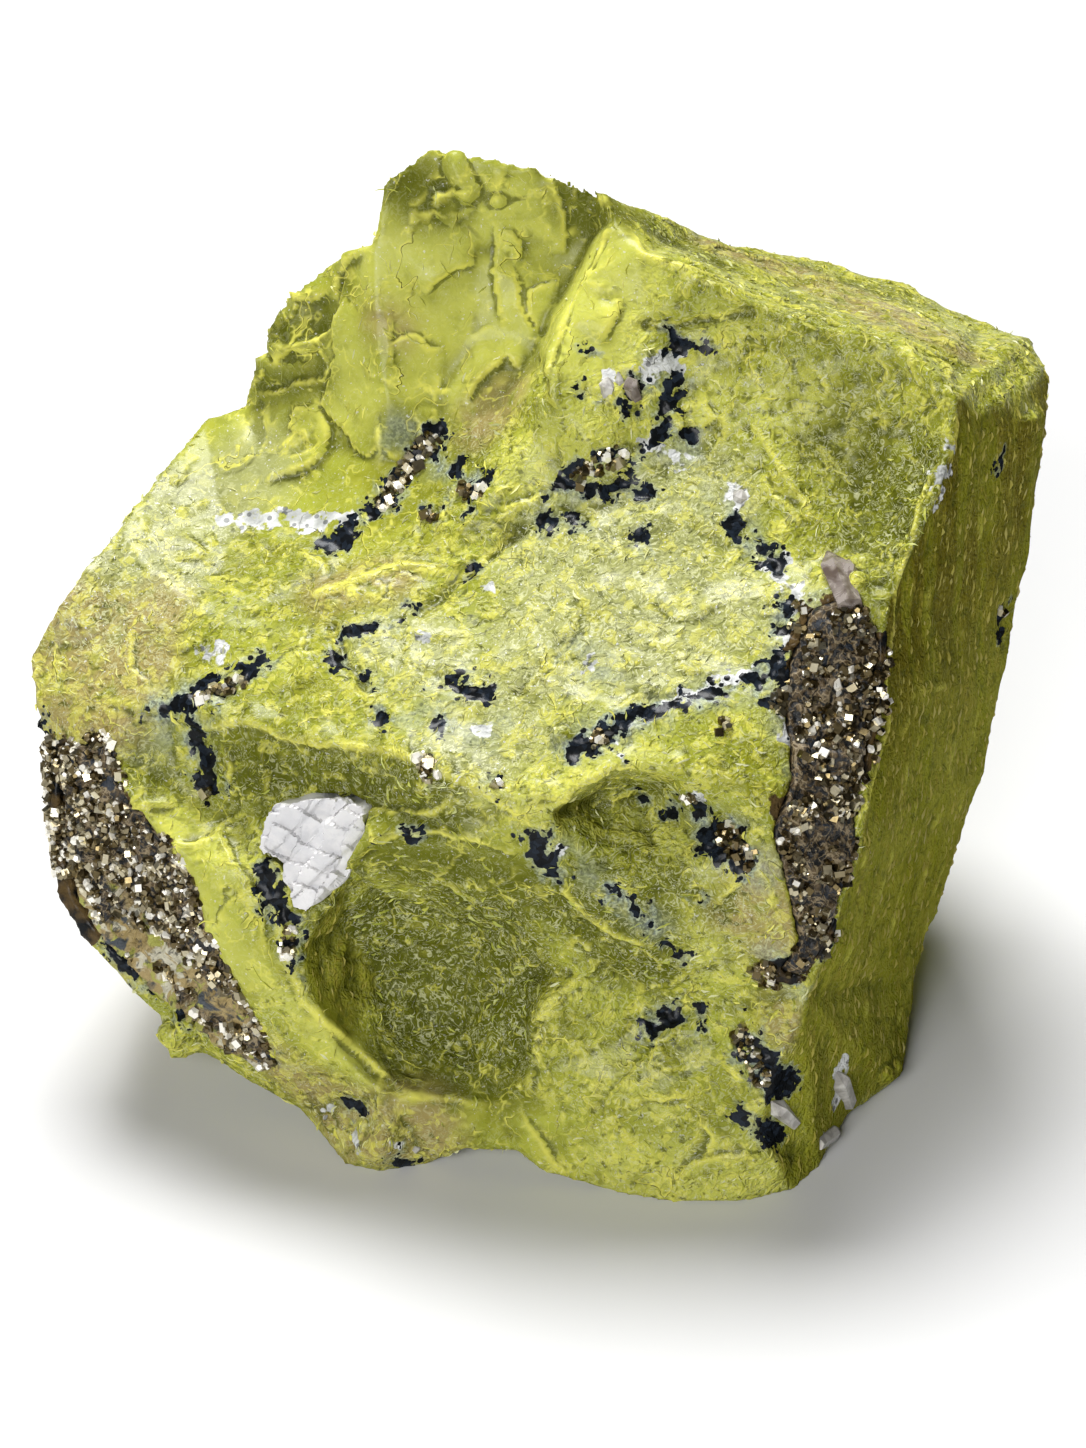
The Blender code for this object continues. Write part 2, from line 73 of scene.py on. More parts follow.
def spot(u, v):
    """The place on the rock that a pixel of the photograph shows, as an array. A line of sight
    that just misses the outline gives the nearest place on the rock."""
    line = ahead + Vector((1, 0, 0)) * ((u - PHOTO[0] / 2) / FOCAL)
    line -= upward * ((v - PHOTO[1] / 2) / FOCAL)
    found = whole_rock.ray_cast(eye, line.normalized())[0]
    return np.array(found or whole_rock.find_nearest(eye + line * VIEW_DISTANCE)[0])


def closeness(points, marks):
    """How deep each point is in a set of marks, in metres: the largest of radius less distance,
    where a mark is a radius in millimetres and the pixels that its line runs through."""
    best = np.full(len(points), -1.0)
    for radius, *pixels in marks:
        spots = [spot(*pixel) for pixel in pixels]
        for a, b in zip(spots, spots[1:] or spots):
            run = b - a
            share = ((points - a) @ run / max(run @ run, 1e-12)).clip(0, 1)
            away = np.linalg.norm(points - a - share[:, None] * run, axis=1)
            best = np.maximum(best, radius * MM - away)
    return best


def soft_step(low, high, values):
    """0 below low, 1 above high, and 3t^2 - 2t^3 between."""
    t = ((values - low) / (high - low)).clip(0, 1)
    return t * t * (3 - 2 * t)


def noise(points, size, seed):
    """Gradient noise from about -1 to 1: each lattice corner has a random slope, and the eight
    slopes round a point are blended by 6t^5 - 15t^4 + 10t^3."""
    slopes = np.random.default_rng(seed).normal(size=(32, 32, 32, 3))
    place = points / size + 100.5
    cell = np.floor(place).astype(int)
    part = place - cell
    ease = part ** 3 * (part * (part * 6 - 15) + 10)
    total = np.zeros(len(points))
    for corner in np.ndindex(2, 2, 2):
        at = (cell + corner) % 32
        slope = slopes[at[:, 0], at[:, 1], at[:, 2]]
        weight = np.prod(np.where(corner, ease, 1 - ease), axis=1)
        total += weight * ((part - corner) * slope).sum(1)
    return total


def layered(points, size, seed, layers=3):
    """Noise, plus the same at half the size and half the height, for each layer."""
    return sum(noise(points, size / 2 ** i, seed + i) / 2 ** i for i in range(layers))


def cells(points, size, seed):
    """For scattered seeds, one to a lattice cell: the distance to the nearest seed as a share of
    the size, and a random number of that seed. A row of the table is a seed's place, its number
    and three spare numbers."""
    table = np.random.default_rng(seed).random((32, 32, 32, 7))
    place = points / size + 100.5
    cell = np.floor(place).astype(int)
    near = np.full(len(points), FAR)
    kind = np.zeros(len(points))
    for corner in np.ndindex(3, 3, 3):
        at = cell + corner - 1
        row = table[at[:, 0] % 32, at[:, 1] % 32, at[:, 2] % 32]
        gap = np.linalg.norm(place - at - row[:, :3], axis=1)
        kind = np.where(gap < near, row[:, 3], kind)
        near = np.minimum(gap, near)
    return near, kind


def edge_steps(points, marks):
    """The height of chipped edges in millimetres, and how near each point is to a rim. A mark is
    a height and a fade in millimetres and the pixels that its edge runs through. Seen in the
    photograph, the ground left of the run stands higher, by height * exp(-distance / fade), and
    both ends of the edge run out: that height is scaled by the root of 4s(1 - s) along it."""
    height, rim = np.zeros(len(points)), np.zeros(len(points))
    for tall, fade, *pixels in marks:
        spots = np.array([spot(*pixel) for pixel in pixels])
        middle = spots.mean(0)
        reach = np.linalg.norm(spots - middle, axis=1).max() + 4 * fade * MM
        near = np.flatnonzero(((points - middle) ** 2).sum(1) < reach ** 2)
        lengths = np.linalg.norm(np.diff(spots, axis=0), axis=1)
        passed = np.concatenate([[0], np.cumsum(lengths)])
        best = np.full(len(near), FAR)
        left, share = np.zeros(len(near)), np.zeros(len(near))
        for i, run in enumerate(np.diff(spots, axis=0)):
            offset = points[near] - spots[i]
            part = (offset @ run / (run @ run)).clip(0, 1)
            away = np.linalg.norm(offset - part[:, None] * run, axis=1)
            closer = away < best
            best = np.where(closer, away, best)
            left = np.where(closer, -np.cross(run, offset) @ np.array(ahead), left)
            share = np.where(closer, (passed[i] + part * lengths[i]) / passed[-1], share)
        taper = np.sqrt(4 * share * (1 - share))
        lift = taper * tall * np.exp(-best / (fade * MM)) * (left > 0)
        height[near] += lift
        rim[near] = np.maximum(rim[near], taper * (left > 0) * soft_step(0.7 * MM, 0.2 * MM, best))
    return height, rim


def flakes(points, size, seed):
    """Open, curved edges of thin flakes, and their rims. Where noise n rises through zero the
    surface jumps up and then sinks back by exp(-6n), and a second noise leaves out most edges."""
    level = layered(points, size, seed, 2)
    shown = soft_step(0.05, 0.4, noise(points, size * 0.9, seed + 7))
    up = shown * (level > 0)
    return up * np.exp(-6 * level.clip(0)), up * soft_step(0.5 * MM / size, 0.1 * MM / size, level)


def applied(made):
    """Puts what an object's modifiers make of it into its mesh, and takes them off."""
    evaluated = made.evaluated_get(bpy.context.evaluated_depsgraph_get())
    made.data = bpy.data.meshes.new_from_object(evaluated)
    made.modifiers.clear()


def remeshed(name, source, voxel, swell=0.0):
    """A new object with an even skin of squares over a frame node, which stays as it is.
    The node's loose triangles are joined first, and swell moves the skin outwards."""
    work = bmesh.new()
    work.from_mesh(source.data)
    bmesh.ops.remove_doubles(work, verts=work.verts, dist=1e-6)
    work.normal_update()
    if swell:
        for vertex in work.verts:
            vertex.co += vertex.normal * swell
    mesh = bpy.data.meshes.new(name)
    work.to_mesh(mesh)
    work.free()
    made = bpy.data.objects.new(name, mesh)
    bpy.context.scene.collection.objects.link(made)
    skin = made.modifiers.new("skin", "REMESH")
    skin.mode = "VOXEL"
    skin.voxel_size = voxel
    applied(made)
    made.data.name = name
    return made


def thinned(made, count):
    """Takes triangles out of an object where it is flattest, down to a count."""
    triangles = sum(len(face.vertices) - 2 for face in made.data.polygons)
    thin = made.modifiers.new("thin", "DECIMATE")
    thin.ratio = min(1.0, count / triangles)
    applied(made)


def store(mesh, numbers):
    """Puts arrays of one number to a point into a mesh, each under its name."""
    for name, values in numbers.items():
        layer = mesh.attributes.new(name, "FLOAT", "POINT")
        layer.data.foreach_set("value", values.astype(np.float32))


class Surface:
    """The points of a mesh of squares as arrays, with what is worked out from its neighbours."""

    def __init__(self, mesh):
        self.mesh = mesh
        self.points = np.empty(len(mesh.vertices) * 3)
        mesh.vertices.foreach_get("co", self.points)
        self.points = self.points.reshape(-1, 3)
        pairs = np.empty(len(mesh.edges) * 2, int)
        mesh.edges.foreach_get("vertices", pairs)
        self.pairs = pairs.reshape(-1, 2)
        self.degree = np.bincount(self.pairs.ravel(), minlength=len(self.points))

    def average(self, values):
        """Each point's mean over its neighbours, for an array with one row to a point."""
        a, b = self.pairs.T
        rows = len(values)
        total = np.stack([np.bincount(a, column[b], rows) + np.bincount(b, column[a], rows)
                          for column in values.reshape(rows, -1).T], axis=1)
        return (total / self.degree[:, None]).reshape(values.shape)

    def smoothed(self, values, rounds):
        """Moves each value half way to its neighbours' mean, over and over."""
        for _ in range(rounds):
            values = (values + self.average(values)) / 2
        return values

    def normals(self):
        """The mesh's own point normals, after the points are written back."""
        self.write()
        found = np.empty(len(self.points) * 3)
        self.mesh.vertices.foreach_get("normal", found)
        return found.reshape(-1, 3)

    def write(self):
        """Puts the points back into the mesh."""
        self.mesh.vertices.foreach_set("co", self.points.ravel())
        self.mesh.update()

    def keep(self, **numbers):
        """Stores one number to a point under each name, for the material to read."""
        store(self.mesh, numbers)


# Marks on the rock: a radius in millimetres, then the pixels that the mark's line runs through.
BLACK_MARKS = [
    (0.8, (800, 640), (788, 680), (770, 700)), (0.7, (812, 720), (800, 760)),
    (0.5, (780, 660), (755, 690)), (0.6, (790, 600), (782, 630)),
    (0.8, (775, 965), (800, 972), (830, 940)), (0.15, (366, 840)), (0.2, (412, 841), (424, 839)),
    (0.4, (690, 795), (672, 812)), (0.4, (350, 1103), (362, 1108)), (0.6, (395, 1156), (410, 1165)),
    (0.5, (50, 740), (62, 760)), (0.5, (640, 415), (628, 408)), (0.35, (690, 430)),
    (0.4, (596, 352)), (0.4, (585, 394)), (0.35, (712, 350)), (0.4, (1000, 460)),
    (0.35, (560, 505), (585, 520)), (0.9, (434, 440), (412, 462), (395, 485), (375, 510)),
    (1.2, (350, 530), (332, 545)), (0.9, (457, 466)), (1.2, (478, 484)), (0.9, (438, 515)),
    (0.4, (471, 510)), (0.5, (472, 570)), (0.45, (352, 634), (375, 628), (398, 622), (416, 605)),
    (0.6, (339, 664)), (1.1, (548, 516)), (0.8, (548, 490), (568, 480), (590, 468), (608, 455)),
    (0.6, (620, 450), (655, 442)), (1.0, (668, 384), (670, 405), (660, 428)), (0.9, (676, 342)),
    (1.1, (633, 388)), (0.5, (631, 470)), (0.6, (621, 482)), (0.6, (647, 493)), (0.5, (608, 493)),
    (0.5, (588, 493)), (0.8, (640, 536)), (1.1, (738, 526)), (0.9, (760, 546), (775, 565)),
    (0.9, (438, 680), (460, 688), (482, 692)), (0.8, (383, 720)), (0.8, (442, 724)),
    (0.6, (365, 683)), (0.7, (497, 784)), (0.9, (580, 748), (605, 738), (625, 745)),
    (0.5, (616, 725), (640, 715), (668, 705)), (0.8, (668, 700), (700, 692), (738, 690)),
    (0.5, (740, 684), (775, 672)),
    (0.7, (160, 715), (185, 700), (205, 685), (225, 692), (240, 680), (256, 666)),
    (0.9, (195, 735), (203, 760), (208, 792)), (0.9, (262, 862), (272, 890), (285, 915)),
    (0.6, (292, 945), (298, 972)), (0.8, (533, 835), (545, 860)), (0.7, (552, 880)),
    (0.5, (621, 898)), (0.5, (637, 915)), (0.4, (650, 930)), (0.5, (668, 945)), (0.5, (682, 953)),
    (0.6, (644, 798)), (1.1, (700, 808)), (1.6, (712, 835), (735, 855)), (0.7, (702, 892)),
    (1.0, (655, 1028), (670, 1015)), (0.7, (702, 1011)),
    (1.8, (748, 1045), (765, 1065), (782, 1088)), (1.0, (745, 1112), (762, 1125), (774, 1138)),
    (1.2, (38, 725), (42, 750), (52, 775)),
    (1.1, (105, 945), (130, 965), (160, 990), (190, 1020), (225, 1035), (255, 1050)),
    (0.6, (1003, 608), (1002, 640)),
]
SLATE_MARKS = [
    (2.4, (805, 610), (790, 660), (795, 720), (805, 760)), (2.0, (730, 840), (760, 870)),
    (1.6, (770, 960), (800, 985)), (1.4, (720, 500), (745, 530)), (2.0, (575, 655), (600, 675)),
    (1.6, (480, 738)), (1.5, (400, 430), (398, 455)),
    (1.6, (600, 735), (640, 720), (690, 700), (760, 685)), (1.2, (470, 480), (440, 470)),
    (1.2, (160, 700), (190, 690), (215, 715)), (1.5, (800, 590), (790, 650), (800, 700)),
    (1.2, (600, 495), (560, 480)), (1.0, (655, 440), (690, 455)), (1.4, (650, 370), (668, 400)),
    (1.3, (700, 810), (730, 830)), (1.2, (745, 1045), (775, 1085)), (1.2, (565, 745), (590, 725)),
    (1.1, (160, 715), (180, 745)), (1.2, (740, 510), (725, 500)), (1.2, (440, 715), (380, 718)),
    (1.2, (110, 940), (160, 985), (230, 1030)), (1.0, (560, 850), (600, 880), (660, 930)),
    (1.4, (480, 740), (500, 730)), (1.0, (662, 1018)), (0.9, (250, 1040), (280, 1060)),
]
WHITE_MARKS = [
    (0.9, (228, 522), (260, 524), (295, 520), (330, 522), (348, 518)), (1.2, (212, 655)),
    (0.6, (585, 662)), (1.1, (650, 370), (675, 362)), (0.8, (175, 965), (215, 1000)),
    (0.5, (490, 590)), (1.0, (608, 383)), (0.8, (768, 565), (785, 585)), (1.1, (740, 497)),
    (0.8, (676, 455)), (1.0, (840, 1070), (836, 1098)), (0.8, (828, 1138)), (0.9, (782, 1112)),
    (0.4, (945, 448), (940, 500)), (0.5, (330, 1110)), (0.5, (360, 1140)), (0.6, (395, 1150)),
    (0.8, (800, 590), (790, 640), (800, 690)), (0.6, (480, 730)), (0.8, (620, 745)),
    (0.7, (425, 640)), (0.8, (670, 700), (745, 676)), (1.0, (795, 700), (790, 740)),
    (0.8, (820, 690), (812, 740)), (0.5, (785, 560)), (0.9, (700, 800)), (0.8, (560, 850)),
    (0.6, (640, 440), (690, 458)),
]
PALE_MARKS = [
    (6, (120, 600), (150, 560)), (5, (500, 720), (470, 745)), (7, (640, 590), (560, 640)),
    (6, (690, 500), (560, 560)), (5, (720, 610), (640, 660)), (5, (250, 470), (200, 500)),
    (4, (400, 640), (430, 660)), (4, (800, 620), (815, 700)),
]
TAN_MARKS = [
    (7, (60, 650), (110, 660)), (5, (45, 620)), (4, (110, 705), (60, 700)), (3, (160, 610)),
    (4, (350, 1120), (420, 1130)), (2.5, (390, 575), (330, 590)), (3, (790, 900), (780, 950)),
    (2, (925, 705)), (1.4, (384, 322), (396, 330)), (3, (860, 300), (930, 330)),
    (2.5, (760, 880), (745, 915)), (2.5, (720, 250), (800, 275), (900, 325), (960, 350)),
    (2.5, (510, 395), (480, 425)), (3, (130, 955), (200, 985)), (2, (780, 1015), (800, 1035)),
    (3, (250, 1050), (330, 1100)),
]
SMOOTH_MARKS = [
    (9, (440, 230), (500, 330)), (8, (430, 185), (560, 205)), (6, (560, 250), (535, 320)),
    (6, (340, 290), (350, 420)), (8, (260, 440), (370, 470)), (5, (605, 245), (575, 330)),
    (6, (400, 400), (420, 350)), (3, (300, 325), (290, 375)), (3, (170, 850), (250, 960)),
    (3, (330, 1030), (440, 1095), (540, 1130)), (3, (380, 850), (520, 870)),
]
MOSS_MARKS = [
    (8, (800, 400), (870, 480)), (6, (830, 350)), (8, (380, 930), (480, 980)),
    (7, (430, 1040), (500, 900)), (6, (640, 900), (700, 930)),
]

RIDGE_MARKS = [
    (0.1, (614, 216), (635, 238), (642, 254), (685, 269), (713, 279), (740, 292), (794, 308),
     (824, 321), (851, 330), (899, 338), (926, 349), (944, 365), (950, 385)),
    (0.1, (614, 218), (597, 245), (575, 290), (556, 340)),
    (0.0, (753, 427), (772, 455), (790, 484), (808, 507)),
    (0.1, (300, 997), (323, 1022), (350, 1045), (371, 1072), (400, 1097), (448, 1102), (507, 1106)),
    (0.1, (268, 860), (275, 905), (285, 950), (300, 990)),
    (0.0, (109, 701), (147, 708), (199, 727), (254, 723), (286, 739), (343, 744), (396, 755),
     (440, 775), (488, 794), (516, 812), (563, 801), (586, 780), (607, 767), (634, 764)),
    (0.0, (953, 391), (956, 432), (951, 450), (921, 500), (912, 543), (894, 593), (896, 623),
     (887, 680), (889, 731), (866, 803), (862, 865)),
    (0.1, (566, 891), (590, 916), (616, 928), (643, 941)),
    (0.0, (595, 964), (577, 985), (550, 1007), (544, 1032), (540, 1062)),
    (0.3, (318, 593), (350, 585), (400, 566), (439, 571)),
]
STREAK_MARKS = [
    (0.0, (920, 670), (912, 705), (900, 740), (875, 835)), (0.0, (920, 688), (950, 688)),
    (0.0, (995, 648), (980, 670), (972, 740), (940, 880), (930, 900)),
    (0.0, (910, 750), (902, 820), (872, 920), (865, 940)),
    (0.0, (850, 940), (820, 1035), (805, 1070)), (0.0, (935, 890), (920, 950), (900, 1020)),
    (0.0, (915, 810), (890, 940), (865, 1020), (850, 1085)),
    (0.0, (960, 705), (950, 775), (920, 890)), (0.0, (985, 500), (978, 560), (962, 640)),
    (0.0, (1010, 470), (1006, 540), (992, 620)), (0.0, (940, 520), (932, 580), (925, 640)),
]
GROOVE_MARKS = [
    (0.2, (646, 322), (680, 322), (708, 318), (747, 310)),
    (0.3, (421, 611), (455, 580), (520, 532)), (0.1, (601, 967), (640, 982), (679, 993)),
    (0.3, (600, 240), (578, 285), (566, 320), (548, 358)),
    (0.2, (565, 640), (545, 665), (520, 690)), (0.1, (332, 626), (345, 660), (365, 690)),
]

# Chipped edges: height and fade in millimetres, then pixels, with the high side on the left.
EDGE_MARKS = [
    (1.0, 3.0, (478, 188), (455, 184), (437, 192), (433, 206), (444, 220), (456, 229)),
    (0.5, 1.5, (497, 190), (505, 180), (511, 164)),
    (0.6, 1.6, (516, 264), (524, 256), (519, 242), (510, 234), (500, 231)),
    (0.5, 3.0, (490, 222), (494, 260), (497, 295), (502, 335)),
    (0.6, 2.5, (566, 252), (564, 228), (559, 204), (552, 180)),
    (0.6, 2.0, (546, 338), (533, 322), (527, 300), (521, 280), (514, 266)),
    (0.6, 2.0, (562, 283), (547, 281), (535, 290), (533, 312), (541, 332)),
    (0.9, 2.0, (428, 292), (441, 281), (456, 269), (474, 263)),
    (0.5, 2.0, (442, 345), (426, 346), (416, 335), (400, 338), (385, 348)),
    (0.9, 2.2, (468, 408), (476, 384), (490, 372), (506, 360), (520, 368)),
    (0.8, 1.6, (524, 396), (541, 386), (552, 374), (549, 358), (554, 341)),
    (0.6, 1.8, (412, 404), (419, 428), (414, 452)), (0.5, 1.5, (380, 470), (383, 440), (384, 400)),
    (1.0, 2.5, (268, 486), (290, 478), (310, 470), (328, 459), (331, 432), (322, 402)),
    (0.5, 1.5, (321, 410), (300, 406), (292, 428), (312, 441)),
    (1.3, 2.5, (346, 302), (336, 328), (322, 338), (302, 346), (276, 346)),
    (1.0, 2.0, (278, 318), (296, 304), (320, 294), (334, 288)),
    (1.3, 2.5, (256, 372), (276, 361), (300, 351), (326, 352)),
    (1.0, 2.0, (326, 377), (302, 379), (286, 388), (262, 392)),
    (0.7, 2.0, (336, 300), (338, 272), (350, 254)), (0.5, 1.2, (266, 450), (243, 456)),
    (0.6, 2.0, (548, 490), (520, 498), (497, 506)), (0.5, 1.6, (330, 573), (318, 563), (300, 553)),
    (0.8, 1.8, (455, 582), (480, 566), (500, 549), (518, 532)),
    (0.8, 2.0, (520, 692), (540, 680), (549, 664), (567, 644), (577, 624), (582, 610)),
    (0.6, 1.6, (372, 702), (362, 686), (344, 660), (333, 628)),
    (0.5, 1.5, (664, 501), (656, 511), (648, 505)), (0.4, 1.5, (612, 259), (590, 264), (560, 262)),
    (0.4, 1.4, (606, 281), (588, 276), (572, 282)), (0.7, 1.8, (604, 342), (612, 328), (618, 300)),
    (0.9, 2.2, (648, 326), (680, 325), (706, 321), (748, 310)),
    (0.7, 1.8, (712, 352), (742, 336), (772, 330)), (0.7, 1.5, (794, 512), (778, 500), (764, 474)),
    (1.0, 2.0, (108, 802), (130, 812), (152, 812), (176, 806)),
    (0.8, 2.2, (276, 952), (264, 918), (250, 882), (231, 852), (221, 822)),
    (0.8, 1.8, (446, 800), (430, 809), (402, 804), (372, 813)),
    (0.8, 2.5, (368, 840), (402, 837), (440, 838), (480, 847), (522, 851)),
    (0.6, 3.0, (438, 880), (480, 899), (504, 916), (542, 951)),
    (0.7, 2.2, (568, 908), (600, 925), (650, 950), (702, 981)),
    (0.9, 2.0, (600, 968), (640, 978), (680, 994)),
    (0.8, 1.4, (109, 701), (147, 708), (199, 727), (254, 723), (286, 739), (343, 744), (396, 755),
     (440, 775), (488, 794), (516, 812)),
    (0.8, 1.4, (516, 812), (563, 801), (586, 780), (607, 767), (634, 764), (680, 780)),
    (1.1, 4.0, (530, 1100), (540, 1062), (544, 1032), (552, 1005), (577, 985), (597, 964)),
    (0.8, 2.0, (300, 997), (323, 1022), (350, 1045), (371, 1072), (400, 1097), (448, 1102),
     (507, 1106)), (0.8, 2.0, (792, 1160), (744, 1148), (712, 1154), (684, 1168), (670, 1192)),
    (0.6, 1.8, (572, 1182), (556, 1162), (540, 1138), (520, 1110)),
    (0.6, 1.6, (640, 1092), (660, 1100), (690, 1096)),
    (0.5, 1.6, (700, 1120), (712, 1140), (705, 1158)),
    (0.7, 1.8, (232, 784), (236, 764), (228, 744)), (0.9, 1.8, (272, 792), (272, 766), (262, 742)),
    (0.6, 1.6, (818, 372), (826, 386), (818, 400)), (0.6, 1.5, (866, 420), (880, 414), (892, 424)),
    (0.6, 1.6, (878, 352), (886, 372), (880, 392)), (0.5, 1.5, (905, 348), (916, 366), (920, 388)),
    (0.5, 1.4, (782, 905), (772, 880), (752, 862)), (0.5, 1.6, (722, 905), (738, 880), (730, 868)),
]
# Painted light: where faces catch the light (the tall wall, the block's left facet, the bench's front
# edge, lit knobs and bands), the stone is coloured lighter.
PAINTED_LIGHT_MARKS = [
    (2.4, (868, 566)), (1.5, (170, 1035)), (1.5, (610, 1060), (660, 1110)),
    (4, (608, 240), (585, 300), (565, 350)), (3, (640, 280), (600, 400)),
    (2.5, (345, 330), (352, 400)), (5, (420, 250), (520, 220)), (4, (450, 330), (430, 370)),
    (3, (530, 300), (545, 230)), (3, (520, 470), (600, 420)), (3, (460, 190)),
    (3, (630, 765), (560, 800), (500, 800)), (2.5, (880, 566)), (3.5, (290, 330), (330, 400)),
    (2, (300, 360), (260, 420)),
    (2, (150, 805), (175, 830), (200, 900), (260, 980), (330, 1040), (400, 1092)),
    (4, (620, 1170), (760, 1170)), (3, (240, 880), (225, 840)), (3, (720, 330), (700, 400)),
    (8, (430, 240), (470, 350)), (6, (560, 240), (530, 350)), (4, (300, 350), (360, 400)),
    (4, (790, 400), (830, 440)), (3, (650, 820), (700, 850)), (3, (700, 900), (720, 960)),
]
# Painted shade: where faces are in shade (under the brow, in the scoop, on the cliff below the bench, in
# hollows and down the right side), the stone is coloured darker.
PAINTED_SHADE_MARKS = [
    (3.5, (400, 862), (470, 870), (560, 890)), (2.5, (330, 905), (310, 960)),
    (3, (520, 1040), (500, 1080)), (2, (610, 210), (660, 235), (720, 265)),
    (6, (370, 930), (450, 1000), (430, 1060)), (6, (480, 900), (500, 980)),
    (4, (560, 900), (640, 960)), (2.5, (230, 770), (300, 770), (380, 775), (440, 790)),
    (3, (440, 820), (400, 815)), (1, (640, 790), (680, 800), (720, 840)),
    (2, (280, 330), (325, 330)), (2, (270, 385), (320, 375)), (1.2, (345, 280)),
    (1.0, (850, 410), (810, 450)), (2, (402, 430)), (2, (880, 430), (870, 500)),
    (1.5, (670, 880), (720, 910)), (2, (500, 395), (480, 430)), (3, (410, 185), (430, 200)),
    (3, (575, 200), (590, 215)), (2, (130, 740), (150, 780)),
    (3.5, (240, 770), (300, 775), (380, 790)), (4, (420, 870), (520, 885)),
    (3, (600, 905), (650, 925)), (2.5, (952, 862), (934, 920), (916, 972), (902, 1016)),
    (1.0, (852, 545), (893, 566), (878, 596)), (1.5, (690, 240), (800, 268), (900, 300)),
    (4, (925, 480), (905, 620), (890, 760)),
]

KNOB_MARKS = [
    (1.7, (868, 566)), (1.2, (858, 582)), (1.1, (879, 550)), (0.9, (864, 545)), (1.0, (880, 578)),
    (0.8, (330, 1120)), (1.3, (455, 165), (470, 190)), (0.8, (500, 200)), (1.5, (170, 1035)),
    (1.1, (190, 1020)), (1.2, (885, 1075)), (0.9, (897, 1066)), (0.8, (648, 690)),
    (0.9, (560, 735)), (1.0, (318, 800)), (0.7, (266, 824)), (0.8, (256, 846)), (0.7, (374, 800)),
    (0.8, (356, 872)), (0.7, (330, 902)), (0.6, (342, 796)),
]
ORE_MARKS = [
    (1.0, (806, 612), (797, 648), (803, 690), (796, 716)),
    (1.1, (783, 805), (792, 850), (812, 885)),
    (3.2, (62, 770), (80, 830), (110, 900), (160, 960), (215, 1015)),
    (2.6, (100, 800), (130, 855), (165, 905), (200, 965), (235, 1020)),
    (1.0, (97, 742), (110, 775), (130, 815)), (2.5, (45, 790), (62, 870), (80, 925)),
    (1.3, (165, 850), (187, 885), (197, 920), (230, 985), (258, 1040)),
    (1.6, (835, 610), (845, 640)),
    (2.5, (845, 660), (840, 720), (835, 780), (825, 840), (830, 880)),
    (1.4, (815, 900), (828, 930), (800, 965), (768, 974)),
    (1.9, (870, 650), (870, 700), (858, 760)), (1.3, (806, 790), (795, 820)),
]

rock = remeshed("serpentine_rock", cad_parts["serpentine_body"], VOXEL)
skin = Surface(rock.data)
skin.points = skin.smoothed(skin.points, 2)
base = skin.points.copy()
facing = skin.normals()
form = skin.smoothed(facing, 16)
form /= np.linalg.norm(form, axis=1)[:, None]


def area(outside, inside, marks):
    """0 where a point is as far outside a set of marks as the first number says, and 1 where it
    is as deep inside them as the second says, in millimetres."""
    return soft_step(-outside * MM, inside * MM, closeness(base, marks))


def reading(depth):
    """What the material reads of a depth in a set of marks: 0.5 at the edge, 1 at 1.2 mm inside."""
    return 0.5 + depth / (2.4 * MM)


black = closeness(base, BLACK_MARKS)
white = closeness(base, WHITE_MARKS)
ore = closeness(base, ORE_MARKS)
slate = area(1.5, 0.8, SLATE_MARKS)
pale = area(3, 2, PALE_MARKS)
tan = area(2.5, 1.5, TAN_MARKS)
smooth = area(3, 2, SMOOTH_MARKS)
moss = area(3, 2, MOSS_MARKS)
# Painted light: how deep each point is in the marks of lit faces, stored as light.
light = area(2, 2, PAINTED_LIGHT_MARKS)
# Painted shade: how deep each point is in the marks of shaded faces, stored as shade.
shade = area(2.5, 2, PAINTED_SHADE_MARKS)
SIDE_NORMAL = np.array((0.88, -0.47, 0.05))
side = soft_step(0.80, 0.93, form @ SIDE_NORMAL)
toward_camera = form @ -np.array(ahead)
seen = soft_step(0.05, 0.4, toward_camera)

# The back isn't in the photograph, so noise puts the same veins and patches there.
unseen = soft_step(0.05, -0.15, toward_camera)
vein = 1 - np.abs(layered(base, 24 * MM, 131, 3)) / 0.07
vein = vein * unseen * (noise(base, 17 * MM, 134) > -0.05) * (0.8 + noise(base, 4 * MM, 138))
OUTSIDE = -9 * MM            # a depth in the marks that is well outside them
black = np.maximum(black, np.where(vein > 0, (vein - 0.3) * 1.2 * MM, OUTSIDE))
blot = (noise(base, 7 * MM, 137) - 0.74) * 6 * MM
white = np.maximum(white, np.where(unseen > 0.5, blot, OUTSIDE))
pale, smooth, tan, moss = [
    np.maximum(seen_area, unseen * soft_step(low, high, noise(base, size * MM, seed)))
    for seen_area, low, high, size, seed in ((pale, 0.0, 0.5, 28, 140), (smooth, 0.1, 0.4, 22, 143),
                                             (tan, 0.2, 0.5, 20, 146), (moss, 0.1, 0.5, 25, 149))]

# Relief: chipped edges where the photograph shows them, loose flakes, lumps and grit all over,
# flutes down the right side, and the ridges, cracks and knobs of the marks. Heights are in
# millimetres.
FLAKE_SIZES = 13, 5, 2.8                # large flakes, small flakes, scales
FLAKE_HEIGHTS = 0.50, 0.42, 0.26
SWELL_HEIGHT = 0.30
LUMP_HEIGHTS = 0.12, 0.36               # everywhere, and more in the mossy patches
GRIT_HEIGHTS = 0.05, 0.08
FLUTE_HEIGHT = 0.22
CREST_HEIGHT = 0.30
STREAK_HEIGHT = 0.25
CRACK_DEPTH = 0.7
CRUMB_HEIGHTS = 0.5, 0.2                # of the black veins: each crumb's own, and its roundness
warp = np.stack([noise(base, 5 * MM, 20 + i) * 1.1 + noise(base, 1.8 * MM, 24 + i) * 0.5
                 for i in range(3)], axis=1) * MM
ragged_base = base + warp * 0.6
